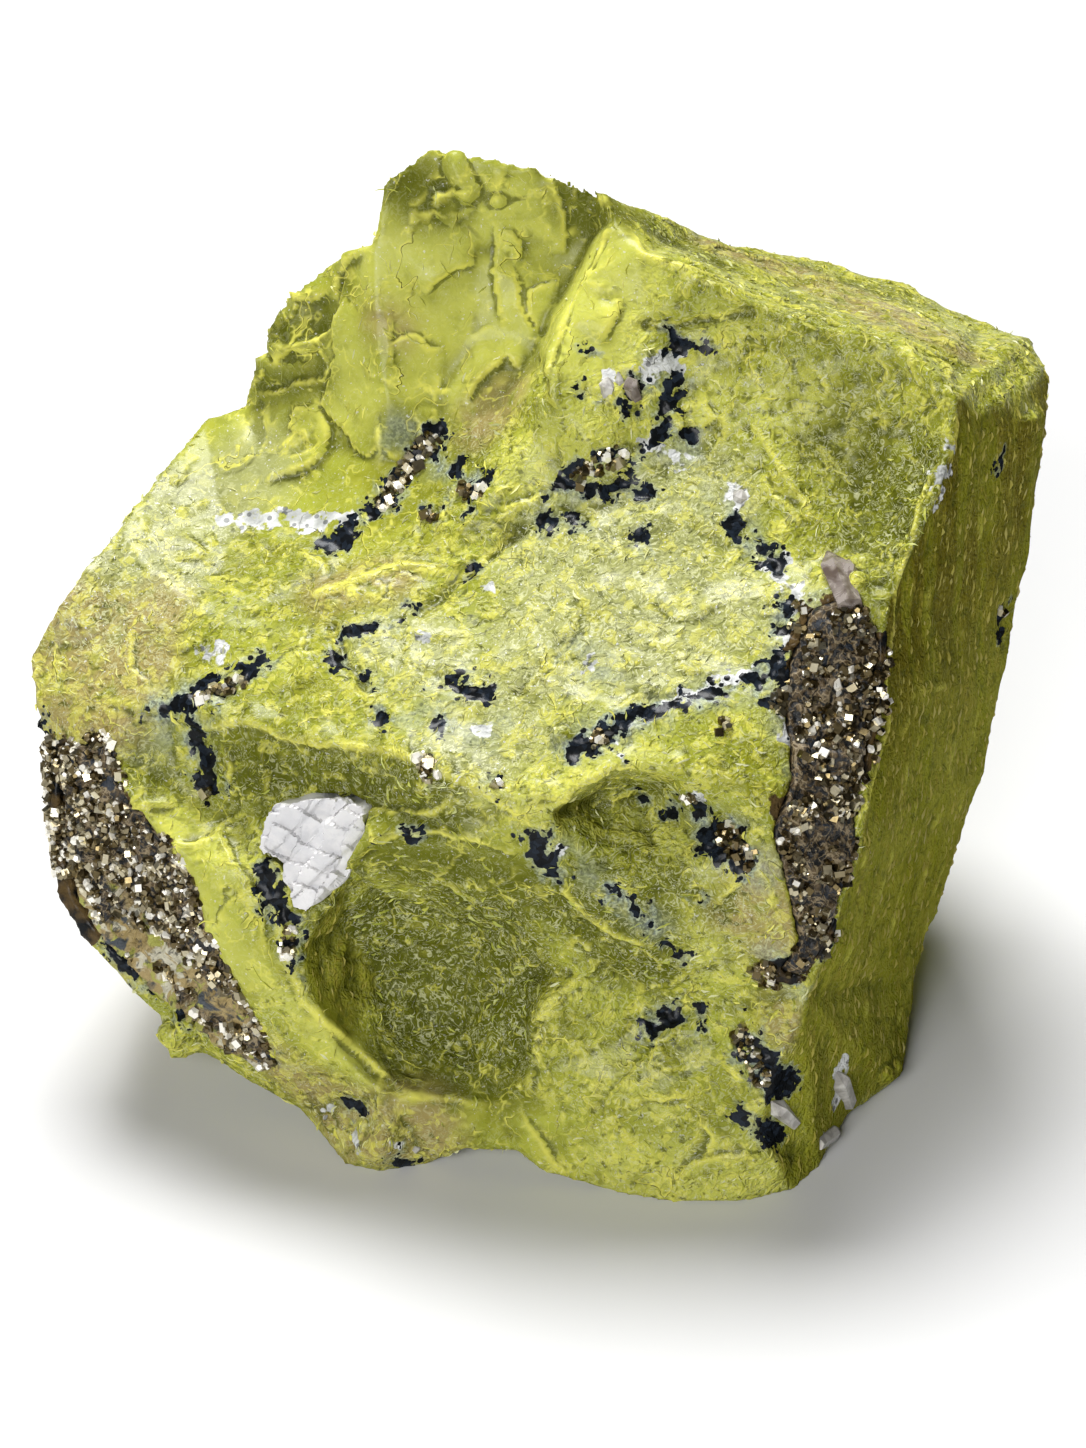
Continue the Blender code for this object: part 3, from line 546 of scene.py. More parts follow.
chipped, chipped_rim = edge_steps(ragged_base, EDGE_MARKS)
chipped *= seen
chipped_rim *= seen
large_flake, large_rim = flakes(ragged_base, FLAKE_SIZES[0] * MM, 31)
small_flake, small_rim = flakes(ragged_base, FLAKE_SIZES[1] * MM, 35)
scale, scale_rim = flakes(ragged_base, FLAKE_SIZES[2] * MM, 39)
lumps = layered(base, 3.0 * MM, 51, 3)
swell = noise(base, 8 * MM, 55)
grit = layered(base, 1.1 * MM, 61, 2)
FLUTE_RUN = np.array((-0.13, -0.2, -0.97))
along = base @ FLUTE_RUN
across = base - along[:, None] * FLUTE_RUN * 0.88
flutes = layered(across, 2.0 * MM, 71, 2)
flaky = (1 - side) * (1 - 0.5 * moss)
loose = large_flake * FLAKE_HEIGHTS[0] + small_flake * FLAKE_HEIGHTS[1] * (1 - 0.6 * smooth)
relief = chipped + (loose + scale * FLAKE_HEIGHTS[2] * (1 - 0.8 * smooth)) * flaky
relief += swell * SWELL_HEIGHT * (1 - 0.5 * side) * (1 - 0.5 * smooth)
relief += lumps * (LUMP_HEIGHTS[0] + LUMP_HEIGHTS[1] * moss) * (1 - 0.85 * smooth)
relief += grit * (GRIT_HEIGHTS[0] + GRIT_HEIGHTS[1] * moss) * (1 - smooth)
relief += flutes * FLUTE_HEIGHT * side
crest = soft_step(-0.55 * MM, 0.1 * MM, closeness(base + warp * 0.12, RIDGE_MARKS))
crest *= seen * soft_step(-0.5, -0.1, noise(base, 3 * MM, 91))
streak = soft_step(-0.7 * MM, 0.0, closeness(base + warp * 0.9, STREAK_MARKS))
streak *= soft_step(-0.35, 0.25, noise(base, 3.5 * MM, 92))
groove = soft_step(-0.9 * MM, 0.1 * MM, closeness(base + warp * 0.35, GROOVE_MARKS))
relief += crest * CREST_HEIGHT + streak * STREAK_HEIGHT - groove * CRACK_DEPTH
rim = np.maximum(chipped_rim, np.maximum(large_rim, small_rim * 0.8) * flaky)
rim = np.maximum(rim, scale_rim * 0.6 * flaky * (1 - 0.8 * smooth))
rim = np.maximum(rim, np.maximum(crest, streak * 0.5))
near_black = soft_step(-0.5 * MM, 0.3 * MM, black)
crumb_gap, crumb_kind = cells(base, 1.0 * MM, 81)
relief += near_black * ((crumb_kind - 0.6) * CRUMB_HEIGHTS[0] - crumb_gap * CRUMB_HEIGHTS[1])
relief = skin.smoothed(relief, 1) * soft_step(0.55, 0.94, (facing * form).sum(1))
knob = closeness(base + warp * 0.3, KNOB_MARKS) / MM
relief += np.sqrt(knob.clip(min=0))
grounded = soft_step(0.2 * MM, 3.0 * MM, base[:, 2])
skin.points = base + form * (relief * grounded * MM)[:, None]
skin.points[:, 2] = skin.points[:, 2].clip(min=0)

# How far each point stands below or above the surface round it, at two sizes; the material paints shade
# into the creases and hollows by them.
fine_dip = ((skin.smoothed(skin.points, 3) - skin.points) * form).sum(1)
broad_dip = ((skin.smoothed(skin.points, 80) - skin.points) * form).sum(1)
skin.write()
skin.keep(black=reading(black), white=reading(white), slate=slate, pale=pale, tan=tan,
          smooth=smooth, moss=moss, side=side, dip=0.5 + fine_dip / (0.12 * MM),
          bowl=0.5 + broad_dip / (0.7 * MM), rim=rim, light=light, shade=shade,
          height=skin.points[:, 2] / (90 * MM), ore=reading(ore))
thinned(rock, TRIANGLES)


class Wire:
    """A socket that Python arithmetic can be done on. Each operator adds one Math node."""

    def __init__(self, tree, socket):
        self.tree = tree
        self.socket = socket

    def node(self, kind, settings=None, out=0, **values):
        """Adds a node of a type. Settings go on first, then values or links by socket name,
        where a socket's number is written as s0, s1 and so on."""
        made = self.tree.nodes.new("ShaderNode" + kind)
        for name, value in (settings or {}).items():
            setattr(made, name, value)
        for name, value in values.items():
            socket = made.inputs[int(name[1:])] if name[1:].isdigit() else made.inputs[name]
            if isinstance(value, Wire):
                self.tree.links.new(value.socket, socket)
            else:
                socket.default_value = value
        return Wire(self.tree, made.outputs[out])

    def maths(self, operation, other=0.0):
        """One Math node on this value and another."""
        return self.node("Math", {"operation": operation}, s0=self, s1=other)

    def __add__(self, other):
        return self.maths("ADD", other)

    def __sub__(self, other):
        return self.maths("SUBTRACT", other)

    def __rsub__(self, other):
        return self.node("Math", {"operation": "SUBTRACT"}, s0=other, s1=self)

    def __mul__(self, other):
        return self.maths("MULTIPLY", other)

    __radd__ = __add__
    __rmul__ = __mul__

    def clamp(self):
        """Kept between 0 and 1."""
        return self.node("Math", {"operation": "ADD", "use_clamp": True}, s0=self, s1=0.0)

    def step(self, low, high):
        """0 below low, 1 above high, with a soft run between."""
        return self.node("MapRange", {"interpolation_type": "SMOOTHSTEP"}, s0=self, s1=low, s2=high)

    def line(self, middle, width):
        """1 where the value is at the middle, down to 0 at a width to either side."""
        away = (self - middle).maths("ABSOLUTE")
        return away.node("MapRange", {"interpolation_type": "SMOOTHSTEP"}, s0=away, s1=0.0,
                         s2=width, s3=1.0, s4=0.0)

    def blend(self, under, over):
        """A colour mixed by this value, kept between 0 and 1, from one colour to another."""
        return self.node("Mix", {"data_type": "RGBA"}, out=2, s0=self, s6=under, s7=over)


class Finish:
    """A new material with a Principled shader, and the inputs that its patterns are made from."""

    def __init__(self, name, **constants):
        self.material = bpy.data.materials.new(name)
        self.material.use_nodes = True
        self.tree = self.material.node_tree
        self.shader = self.tree.nodes["Principled BSDF"]
        for key, value in constants.items():
            self.shader.inputs[key.replace("_", " ")].default_value = value
        place = self.start("TexCoord", 3)
        self.place = place.node("VectorMath", {"operation": "SCALE"}, s0=place, Scale=1000.0)

    def start(self, kind, out=0):
        """The first node of a chain, which has no inputs."""
        made = self.tree.nodes.new("ShaderNode" + kind)
        return Wire(self.tree, made.outputs[out])

    def attribute(self, name):
        """A number that was stored to a point."""
        made = self.tree.nodes.new("ShaderNodeAttribute")
        made.attribute_name = name
        return Wire(self.tree, made.outputs["Fac"])

    def noise(self, size, detail=3.0, warp=0.0, place=None):
        """Noise whose main bumps are a size in millimetres, about 0.5 in the middle."""
        place = place or self.place
        return place.node("TexNoise", Vector=place, Scale=1.0 / size, Detail=detail,
                          Distortion=warp)

    def crystals(self, size, feature="F1", out=0):
        """Cells of a size in millimetres: the distance to a cell's middle, or its own colour."""
        return self.place.node("TexVoronoi", {"feature": feature}, out=out, Vector=self.place,
                               Scale=1.0 / size)

    def chips(self, size, warp):
        """A random number to each ragged cell, for flakes whose edges are sharp steps."""
        sway = self.place.node("TexNoise", out=1, Vector=self.place, Scale=0.9 / size, Detail=1.0)
        sway = sway.node("VectorMath", {"operation": "SUBTRACT"}, s0=sway, s1=(0.5, 0.5, 0.5))
        sway = sway.node("VectorMath", {"operation": "SCALE"}, s0=sway, Scale=warp * size)
        moved = sway.node("VectorMath", {"operation": "ADD"}, s0=self.place, s1=sway)
        cell = moved.node("TexVoronoi", out=1, Vector=moved, Scale=1.0 / size)
        return cell.node("SeparateColor", s0=cell)

    def flake(self, size):
        """Thin flakes: a line along each broken edge, and a height that jumps up at the edge and
        sinks back over the flake. The edge is where noise passes its middle, for part of the way."""
        level = self.noise(size, 3, 0.4) - 0.5
        moved = self.place.node("VectorMath", {"operation": "ADD"}, s0=self.place,
                                s1=(31.0, 7.0, 3.0))
        shown = self.noise(size * 0.8, 1, 0, moved).step(0.50, 0.60)
        line = level.line(0.01, 0.10 / size) * shown
        lip = level.step(0.0, 0.04 / size) * level.step(0.16, 0.0) * shown
        return line, lip

    def use(self, socket, value):
        """Leads a value or a colour to one of the shader's sockets."""
        self.tree.links.new(value.socket, self.shader.inputs[socket])

    def coat(self, made):
        """Gives a piece this material alone."""
        made.data.materials.clear()
        made.data.materials.append(self.material)

    def bump(self, height, depth):
        """Roughens the shading by a bump whose height of 1 stands for a depth in millimetres."""
        self.use("Normal", height.node("Bump", Height=height, Distance=depth * MM, Strength=1.0))


def rgb(red, green, blue):
    """A colour as a socket takes it."""
    return (red, green, blue, 1.0)


def painted(colour, *coats):
    """Lays colours over a first one, each by its mask, where 0 is none of it and 1 is all."""
    for mask, over in coats:
        colour = mask.blend(colour, over)
    return colour


stone = Finish("serpentine_stone", Roughness=0.5, Specular_IOR_Level=0.0, Coat_Roughness=0.25,
               Coat_IOR=1.45)
LIME = rgb(0.37, 0.385, 0.042)
OLIVE = rgb(0.225, 0.235, 0.015)
GRASS = rgb(0.33, 0.38, 0.05)
LEMON = rgb(0.72, 0.69, 0.12)
CREAM = rgb(0.66, 0.67, 0.38)
MEAL = rgb(0.38, 0.39, 0.18)
GREY_GREEN = rgb(0.42, 0.47, 0.30)
TAN = rgb(0.34, 0.27, 0.10)
# A dark green for random dark patches, and for painted shade in pits, creases and hollows.
DEEP_TONE_AND_SHADE = rgb(0.09, 0.10, 0.012)
NAVY = rgb(0.016, 0.022, 0.032)
SOOT = rgb(0.006, 0.007, 0.008)
CHALK = rgb(0.74, 0.75, 0.73)
STRAW = rgb(0.29, 0.25, 0.035)
SIDE_SHADE_OLIVE = rgb(0.125, 0.105, 0.009)
PAINTED_LIGHT_COLOUR = rgb(0.60, 0.61, 0.12)
PAINTED_SHADE_COLOUR = rgb(0.09, 0.10, 0.006)
SLATE = rgb(0.18, 0.21, 0.185)
ASH = rgb(0.38, 0.39, 0.37)
UMBER = rgb(0.10, 0.065, 0.025)

patch = stone.noise(8, 2)
mottle = stone.noise(2.4, 4)
rough_edge = stone.noise(1.4, 4)
worm = stone.noise(1.2, 1, 1.8)
worm_fine = stone.noise(0.6, 1, 1.5)
broken = stone.noise(1.7, 2)
fleck = stone.noise(0.35, 1)
chip = stone.chips(2.6, 1.3)
small_chip = stone.chips(1.1, 0.8)
dip = stone.attribute("dip")
bowl = stone.attribute("bowl")
is_pale, is_smooth, is_moss, is_side = map(stone.attribute, ("pale", "smooth", "moss", "side"))
is_tan, is_rim, is_painted_light, is_painted_shade = map(stone.attribute, ("tan", "rim", "light", "shade"))

# The masks of the stone's own colours and of its painted shade in pits, painted highlights along rims
# and painted glints, then of what lies in it.
flake_line, flake_lip = stone.flake(6.0)
chip_line = stone.flake(2.6)[0]
is_flaky = 1 - is_side * 0.9
lemon_chip = small_chip.step(0.72, 0.8) * 0.45 * is_flaky * (1 - is_smooth * 0.8)
lemon_chip = lemon_chip * (1 - is_painted_shade * 0.85) * (1 - is_moss * 0.6)
# Dark blotches at random, with more of them as painted shade on the shaded faces.
blotch = mottle.step(0.44, 0.30) * (0.4 + is_painted_shade * 0.3) * (1 - is_smooth * 0.5)
# Painted shade: small dark specks that stand for the shadows of tiny pits.
pit_shade = stone.noise(0.9, 2).step(0.42, 0.30) * (1 - is_smooth * 0.9) * is_flaky
# Painted highlight: lemon colour along the rims and broken edges of the flakes.
rim_highlight = is_rim * 0.9 + (flake_line + chip_line * 0.7) * is_flaky * 0.7
wisps = worm.line(0.5, 0.07) * broken.step(0.47, 0.56)
wisps = wisps + worm_fine.line(0.52, 0.09) * broken.step(0.5, 0.42) * 0.8
wisps = wisps * (is_pale * 0.4 + is_moss * 0.2 + 0.4) * (1 - is_smooth * 0.6) * (1 - is_side * 0.85)
# Painted glints: tiny chalk-white specks where the waxy stone would catch the light.
painted_glint = fleck.step(0.70, 0.74) * (0.45 + is_pale * 0.4) * (1 - is_side * 0.95)
ragged = (rough_edge - 0.5) * 2.6
strand = ragged + (stone.noise(4.5, 2) - 0.5) * 1.6
white_field = stone.attribute("white") + ragged * 0.9
black_field = stone.attribute("black") + strand
ore_field = stone.attribute("ore") + ragged * 0.5
halo = (black_field.step(0.12, 0.42) + stone.attribute("slate") * 0.8) * mottle.step(0.38, 0.56)
dots = stone.crystals(1.1).step(0.32, 0.26)
dots = dots * (black_field.step(0.15, 0.25) + white_field.step(0.35, 0.5) * 0.6)
is_black = (black_field.step(0.5, 0.54) + dots).clamp()
facet = stone.crystals(0.6, out=1)
facet = facet.node("SeparateColor", s0=facet)

# The right side is coloured darker as painted shade, lighter towards the bottom, with long streaks that
# run down it.
streaks = stone.place.node("Mapping", s0=stone.place, Scale=(1.0, 1.0, 0.14))
low = 1 - stone.attribute("height").step(0.35, 0.6)
side_shade_and_streaks = painted(
    (low * 0.55).blend(SIDE_SHADE_OLIVE, LIME),
    (stone.noise(4.0, 2, 0, streaks).step(0.45, 0.6) * 0.7, OLIVE),
    (stone.noise(1.6, 3).step(0.55, 0.68) * 0.6, DEEP_TONE_AND_SHADE),
    (stone.noise(1.3, 3, 0.7, streaks).line(0.5, 0.03) * 0.8, STRAW))

colour = painted(
    patch.step(0.36, 0.62).blend(OLIVE, LIME),
    (chip * 0.35, GRASS),
    # painted light on the faces that catch the light
    (is_painted_light * (0.35 + mottle * 0.5), PAINTED_LIGHT_COLOUR),
    (is_pale * (0.35 + mottle * 0.6), MEAL),
    # painted shade on the faces in shade
    (is_painted_shade * (0.62 + mottle * 0.6), PAINTED_SHADE_COLOUR),
    (is_tan * mottle.step(0.25, 0.55) * 0.9, TAN),
    # painted shade down the right side
    (is_side * 0.95, side_shade_and_streaks),
    (lemon_chip, LEMON),
    (blotch, DEEP_TONE_AND_SHADE),
    # painted shade of tiny pits
    (pit_shade * 0.8, DEEP_TONE_AND_SHADE),
    # painted shade in creases and broad hollows
    (dip.step(0.55, 1.0) * 0.75, DEEP_TONE_AND_SHADE),
    (bowl.step(0.58, 0.95) * 0.45, DEEP_TONE_AND_SHADE),
    # painted highlight along rims
    (rim_highlight, LEMON),
    (wisps, CREAM),
    # painted glints
    (painted_glint, CHALK),
    (halo * 0.6, fleck.step(0.4, 0.6).blend(SLATE, GREY_GREEN)),
    (white_field.step(0.44, 0.60), mottle.step(0.35, 0.6).blend(ASH, CHALK)),
    (is_black, facet.step(0.3, 0.95).blend(SOOT, NAVY)),
    (ore_field.step(0.46, 0.54), mottle.step(0.4, 0.62).blend(UMBER, SOOT)))
stone.use("Base Color", colour)
rough = 0.50 + (fleck - 0.5) * 0.5 - is_smooth * 0.12 - is_black * 0.2
stone.use("Roughness", rough.clamp())
stone.use("Coat Weight", (0.32 - is_side * 0.3 - is_painted_shade * 0.2).clamp())
height = flake_lip * is_flaky * 0.35 + (worm * 0.42 + fleck * 0.16) * (1 - is_smooth * 0.85)
stone.bump(height, 1.0)
stone.coat(rock)
rock.data.shade_smooth()
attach(rock, "root")
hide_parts("serpentine_body")

# The splinters.
# Where serpentine breaks it leaves thousands of tiny curled splinters that still hold on by one edge.
# They are the same waxy stone, in random lime, lemon and cream tones.
def spread(places, spacing, seed):
    """Which places to keep so that each little cube of space holds one, picked at random."""
    order = np.random.default_rng(seed).permutation(len(places))
    boxes = np.floor(places[order] / spacing).astype(int)
    return order[np.unique(boxes, axis=0, return_index=True)[1]]


def new_piece(name, points, faces, material, **numbers):
    """A new object from arrays of points and triangles, with the numbers stored to its points."""
    mesh = bpy.data.meshes.new(name)
    mesh.from_pydata(points.reshape(-1, 3).tolist(), [], faces.reshape(-1, 3).tolist())
    store(mesh, numbers)
    mesh.materials.append(material)
    made = bpy.data.objects.new(name, mesh)
    bpy.context.scene.collection.objects.link(made)
    return made


def slivers(name, picked, ways, length, width, height, seed):
    """Curved, tapered bars with a three-sided section, on some of the skin's points. Length, width
    and height each give two numbers in millimetres to draw between. At the share t of its length L
    a bar's middle is L(t - 1/2) along its way and bends aside by 4t(1 - t) times its bend, and its
    half width is W/2 * sin(pi t)^0.7. Two points of the section lie just under the face and the
    third stands over one of them, so one long edge of each bar is lifted."""
    rng = np.random.default_rng(seed)
    count = len(picked)
    out = facing[picked]
    ways = ways - (ways * out).sum(1)[:, None] * out
    ways /= np.linalg.norm(ways, axis=1)[:, None]
    aside = np.cross(out, ways)
    places = skin.points[picked] - out * 0.08 * MM
    long = rng.uniform(*length, count)[:, None] * MM
    wide = rng.uniform(*width, count)[:, None] * MM
    tall = rng.uniform(*height, count)[:, None] * MM
    bend = rng.uniform(-0.3, 0.3, count)[:, None] * long
    shares = np.array((0.2, 0.5, 0.8))
    middle = (places[:, None] + ways[:, None] * (long * (shares - 0.5))[..., None]
              + aside[:, None] * (bend * 4 * shares * (1 - shares))[..., None])
    half = aside[:, None] * (wide / 2 * np.sin(math.pi * shares) ** 0.7)[..., None]
    lifted = middle + half * 0.7 + out[:, None] * (tall * np.sin(math.pi * shares))[..., None]
    rings = np.stack([middle - half, middle + half, lifted], axis=2).reshape(count, 9, 3)
    ends = ways * long / 2
    points = np.concatenate([(places - ends)[:, None], rings, (places + ends)[:, None]], axis=1)
    pattern = []
    for p, q in ((1, 2), (2, 3), (3, 1)):
        pattern += [(q, p, 0), (p + 6, q + 6, 10)]
        for ring in (0, 3):
            pattern += [(p + ring, q + ring, q + ring + 3), (p + ring, q + ring + 3, p + ring + 3)]
    faces = np.array(pattern)[None] + np.arange(count)[:, None, None] * 11
    numbers = {"tone": rng.random(count), "pale": pale[picked], "shade": shade[picked],
               "side": side[picked]}
    numbers = {label: np.repeat(values, 11) for label, values in numbers.items()}
    made = new_piece(name, points, faces, sliver_stone.material, **numbers)
    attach(made, "root")


sliver_stone = Finish("serpentine_splinters", Roughness=0.4, Specular_IOR_Level=0.3)
sliver_cloud = sliver_stone.noise(0.8, 3)
sliver_tone = sliver_stone.attribute("tone")
# Splinters in the painted shade are coloured greener and a little darker, and on the right side a darker
# straw, partly the side's streak colour and partly its painted shade.
sliver_stone.use("Base Color", painted(
    sliver_tone.step(0.1, 0.7).blend(LIME, LEMON),
    (sliver_tone.step(0.7, 0.9), CREAM),
    (sliver_stone.attribute("pale") * 0.7, CREAM),
    (sliver_stone.attribute("shade") * 0.7, GRASS),
    (sliver_cloud.step(0.5, 0.7) * 0.5, CREAM),
    (sliver_stone.attribute("side") * 0.92, STRAW)))
sliver_stone.use("Roughness", 0.3 + sliver_cloud * 0.3)

facing = skin.normals()
clear = np.minimum(soft_step(0.2 * MM, -0.6 * MM, black), soft_step(0.2 * MM, -0.5 * MM, white))
clear *= soft_step(0.0, -0.8 * MM, ore) * (skin.points[:, 2] > 1.5 * MM) * (0.45 + 0.55 * seen)
lottery = np.random.default_rng(121).random(len(base))
lean = np.stack([noise(base, 9 * MM, 122 + i) for i in range(3)], axis=1)
lean += np.random.default_rng(125).normal(size=base.shape) * 0.28
lean = np.where(side[:, None] > 0.5, FLUTE_RUN + lean * 0.25, lean)
chance = clear * (0.85 - 0.72 * smooth) * (1 - 0.4 * side)
SPLINTER_SIZES = (0.5, 1.9), (0.11, 0.30), (0.10, 0.32)      # length, width and height
HAIR_SIZES = (1.2, 3.6), (0.10, 0.18), (0.06, 0.14)
picked = spread(base, 1.5 * MM, 126)
picked = picked[lottery[picked] < chance[picked]]
slivers("serpentine_splinters", picked, lean[picked], *SPLINTER_SIZES, 127)
picked = spread(base, 3.0 * MM, 128)
picked = picked[lottery[picked] < clear[picked] * smooth[picked] * 0.5]
slivers("serpentine_hairs", picked, lean[picked], *HAIR_SIZES, 129)

# The pyrite crusts.
# Hard brassy iron crystals that grew packed together on two broken faces, with dark brown rust
# in the gaps between them. Each crust is one mass, and its grains are its own bright crystals.
def outward(node):
    """The way that a node faces out of the rock: from the rock's middle to the node's middle."""
    corners = [v.co for v in node.data.vertices]
    middle = sum(corners, Vector()) / len(corners)
    return np.array((middle - VIEW_TARGET).normalized())


def hull(points):
    """The corners and triangles of the smallest solid round some points."""
    work = bmesh.new()
    for point in points:
        work.verts.new(point)
    bmesh.ops.convex_hull(work, input=work.verts)
    work.verts.index_update()
    corners = np.array([v.co for v in work.verts])
    faces = np.array([[v.index for v in face.verts] for face in work.faces])
    work.free()
    return corners, faces


def cube():
    """Six square faces, with corners at 0.8 to either side along each axis."""
    return hull([(x, y, z) for x in (-0.8, 0.8) for y in (-0.8, 0.8) for z in (-0.8, 0.8)])


def pyritohedron():
    """Twelve five-sided faces: a cube's corners, and a pair of points over each cube face."""
    points = [(x, y, z) for x in (-1, 1) for y in (-1, 1) for z in (-1, 1)]
    for a in (-1.5, 1.5):
        for b in (-0.75, 0.75):
            points += [(0, a, b), (a, b, 0), (b, 0, a)]
    return hull([Vector(point) * 0.62 for point in points])


def turned(rng, count):
    """Random rotations, as a stack of matrices made from four random numbers each."""
    q = rng.normal(size=(count, 4))
    w, x, y, z = (q / np.linalg.norm(q, axis=1)[:, None]).T
    rows = [1 - 2 * (y * y + z * z), 2 * (x * y - z * w), 2 * (x * z + y * w),
            2 * (x * y + z * w), 1 - 2 * (x * x + z * z), 2 * (y * z - x * w),
            2 * (x * z - y * w), 2 * (y * z + x * w), 1 - 2 * (x * x + y * y)]
    return np.stack(rows, axis=1).reshape(-1, 3, 3)


def grains(name, places, normals, small, large, seed):
    """One object of many little crystals, each sunk a little into the place where it sits. Their
    sizes in millimetres are drawn between small and large."""
    rng = np.random.default_rng(seed)
    corners, faces, tones = [], [], []
    start = 0
    kinds = rng.random(len(places)) < 0.55
    for chosen, (points, triangles) in ((kinds, cube()), (~kinds, pyritohedron())):
        count = chosen.sum()
        size = rng.uniform(small, large, count) * MM / 2
        stretch = rng.uniform(0.7, 1.25, (count, 1, 3))
        shape = (points[None] * stretch) @ turned(rng, count)
        middle = places[chosen] + normals[chosen] * (size * rng.uniform(-0.1, 0.5, count))[:, None]
        corners.append((shape * size[:, None, None] + middle[:, None]).reshape(-1, 3))
        steps = start + np.arange(count)[:, None, None] * len(points)
        faces.append((triangles[None] + steps).reshape(-1, 3))
        # Grains on the left get higher tones, so more of them are lighter brass and painted glints.
        tones.append(np.repeat(rng.random(count) + (places[chosen, 0] < 0) * 0.14, len(points)))
        start += count * len(points)
    made = new_piece(name, np.concatenate(corners), np.concatenate(faces), brass.material,
                     tone=np.concatenate(tones))
    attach(made, "root")


brass = Finish("pyrite_brass", Metallic=1.0)
BRASS = rgb(0.66, 0.60, 0.42)
BRONZE = rgb(0.15, 0.115, 0.055)
GLINT_SILVER = rgb(0.95, 0.92, 0.82)
tone = brass.attribute("tone")
# Painted glints: a few whole grains, and spots on the others, are coloured silver-white, and those
# grains are made less metallic.
glint_grain = tone.step(0.88, 0.91)
brass.use("Base Color", painted(
    tone.step(0.35, 0.95).blend(BRONZE, BRASS),
    (brass.noise(0.5, 3).step(0.62, 0.70) + glint_grain, GLINT_SILVER)))
brass.use("Metallic", 1 - glint_grain * 0.6)
brass.use("Roughness", 0.16 + brass.noise(0.4, 2) * 0.35)

rust = Finish("pyrite_matrix", Specular_IOR_Level=0.5)
SEAM_BROWN = rgb(0.27, 0.21, 0.12)
BAND_BLACK = rgb(0.05, 0.06, 0.07)
BAND_BROWN = rgb(0.36, 0.27, 0.11)
BAND_CREAM = rgb(0.56, 0.53, 0.40)
BAND_GREEN = rgb(0.36, 0.36, 0.07)
seam = rust.noise(3.0, 4, 1.0)
grime = rust.noise(0.8, 4, 0.5)
belt = rust.noise(4.5, 4, 0.8)
net = rust.crystals(0.75, "DISTANCE_TO_EDGE").step(0.10, 0.03) * grime.step(0.44, 0.6)
banded = painted(
    belt.step(0.40, 0.46).blend(BAND_BLACK, BAND_BROWN),
    (belt.step(0.53, 0.57), BAND_CREAM),
    (seam.step(0.54, 0.60), BAND_GREEN),
    (grime.step(0.44, 0.36) * 0.7, SOOT))
rust.use("Base Color", painted(
    grime.step(0.42, 0.6).blend(SOOT, UMBER),
    (net + seam.line(0.56, 0.03), SEAM_BROWN),
    (rust.noise(1.6, 3).step(0.62, 0.66), NAVY),
    (rust.attribute("band").step(0.35, 0.65), banded)))
rust.use("Roughness", 0.3 + grime * 0.5)
rust.bump(grime, 0.6)

# The black, brown and cream band below the left crust, as marks of the same kind.
BAND_MARKS = [
    (3.0, (66, 905), (100, 950), (150, 990), (200, 1030), (260, 1075)),
    (2.0, (125, 930), (185, 975), (235, 1012)), (0.5, (90, 850), (150, 930)),
]
CRUST_VOXEL = 0.45 * MM
CRUST_SWELL = 0.42 * MM      # covers the gap between a crust and its pocket
GRAIN_SPACING = 0.62 * MM
on_ore = ore > -0.4 * MM
ore_places, ore_normals = [base[on_ore]], [form[on_ore]]
for side_name in ("left", "right"):
    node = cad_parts["pyrite_crust_" + side_name]
    matrix = remeshed("pyrite_matrix_" + side_name, node, CRUST_VOXEL, CRUST_SWELL)
    mass = Surface(matrix.data)
    mass.points = mass.smoothed(mass.points, 3)
    out = mass.normals()
    faces_out = out @ outward(node) > 0.4
    crumb_gap, crumb_kind = cells(mass.points, 1.3 * MM, 101)
    mass.points += out * (faces_out * (crumb_kind - 0.6 - crumb_gap * 0.4) * MM)[:, None]
    mass.write()
    mass.keep(band=reading(closeness(mass.points, BAND_MARKS)))
    rust.coat(matrix)
    matrix.data.shade_smooth()
    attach(matrix, "root")
    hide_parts(node.name)
    ore_places.append(mass.points[faces_out])
    ore_normals.append(out[faces_out])
ore_places = np.concatenate(ore_places)
ore_normals = np.concatenate(ore_normals)
picked = spread(ore_places, GRAIN_SPACING, 102)
sparse = np.where(ore_places[picked, 0] > 0, 0.0, -0.40)
picked = picked[layered(ore_places[picked], 3 * MM, 106, 3) > sparse]
picked = picked[closeness(ore_places[picked], BAND_MARKS) < 0.3 * MM]
grains("pyrite_grains", ore_places[picked], ore_normals[picked], 0.3, 1.05, 103)

# The pyrite in the veins.
# The same brassy crystals, scattered as small clusters along the black veins of the bench and
# the front faces, where they grew with the magnetite.
SPECK_MARKS = [
    (0.9, (430, 442), (412, 462), (400, 480), (385, 500)), (0.6, (464, 488), (480, 492)),
    (0.8, (580, 478), (600, 464), (618, 454)), (0.8, (598, 740)), (0.6, (425, 762), (432, 778)),
    (0.4, (498, 785)), (0.9, (742, 1035), (760, 1075)), (0.5, (200, 700), (240, 684)),
    (0.6, (205, 792)), (1.0, (728, 835), (745, 856)), (0.6, (292, 928), (288, 950)),
    (0.6, (722, 728)), (0.5, (430, 515)), (0.7, (690, 800)), (0.8, (780, 705), (790, 690)),
    (0.5, (1003, 612)), (0.6, (34, 760), (45, 785)),
]
specks = closeness(base, SPECK_MARKS) > -0.1 * MM
picked = spread(skin.points[specks], 0.75 * MM, 104)
grains("pyrite_specks", skin.points[specks][picked], form[specks][picked], 0.45, 1.1, 105)

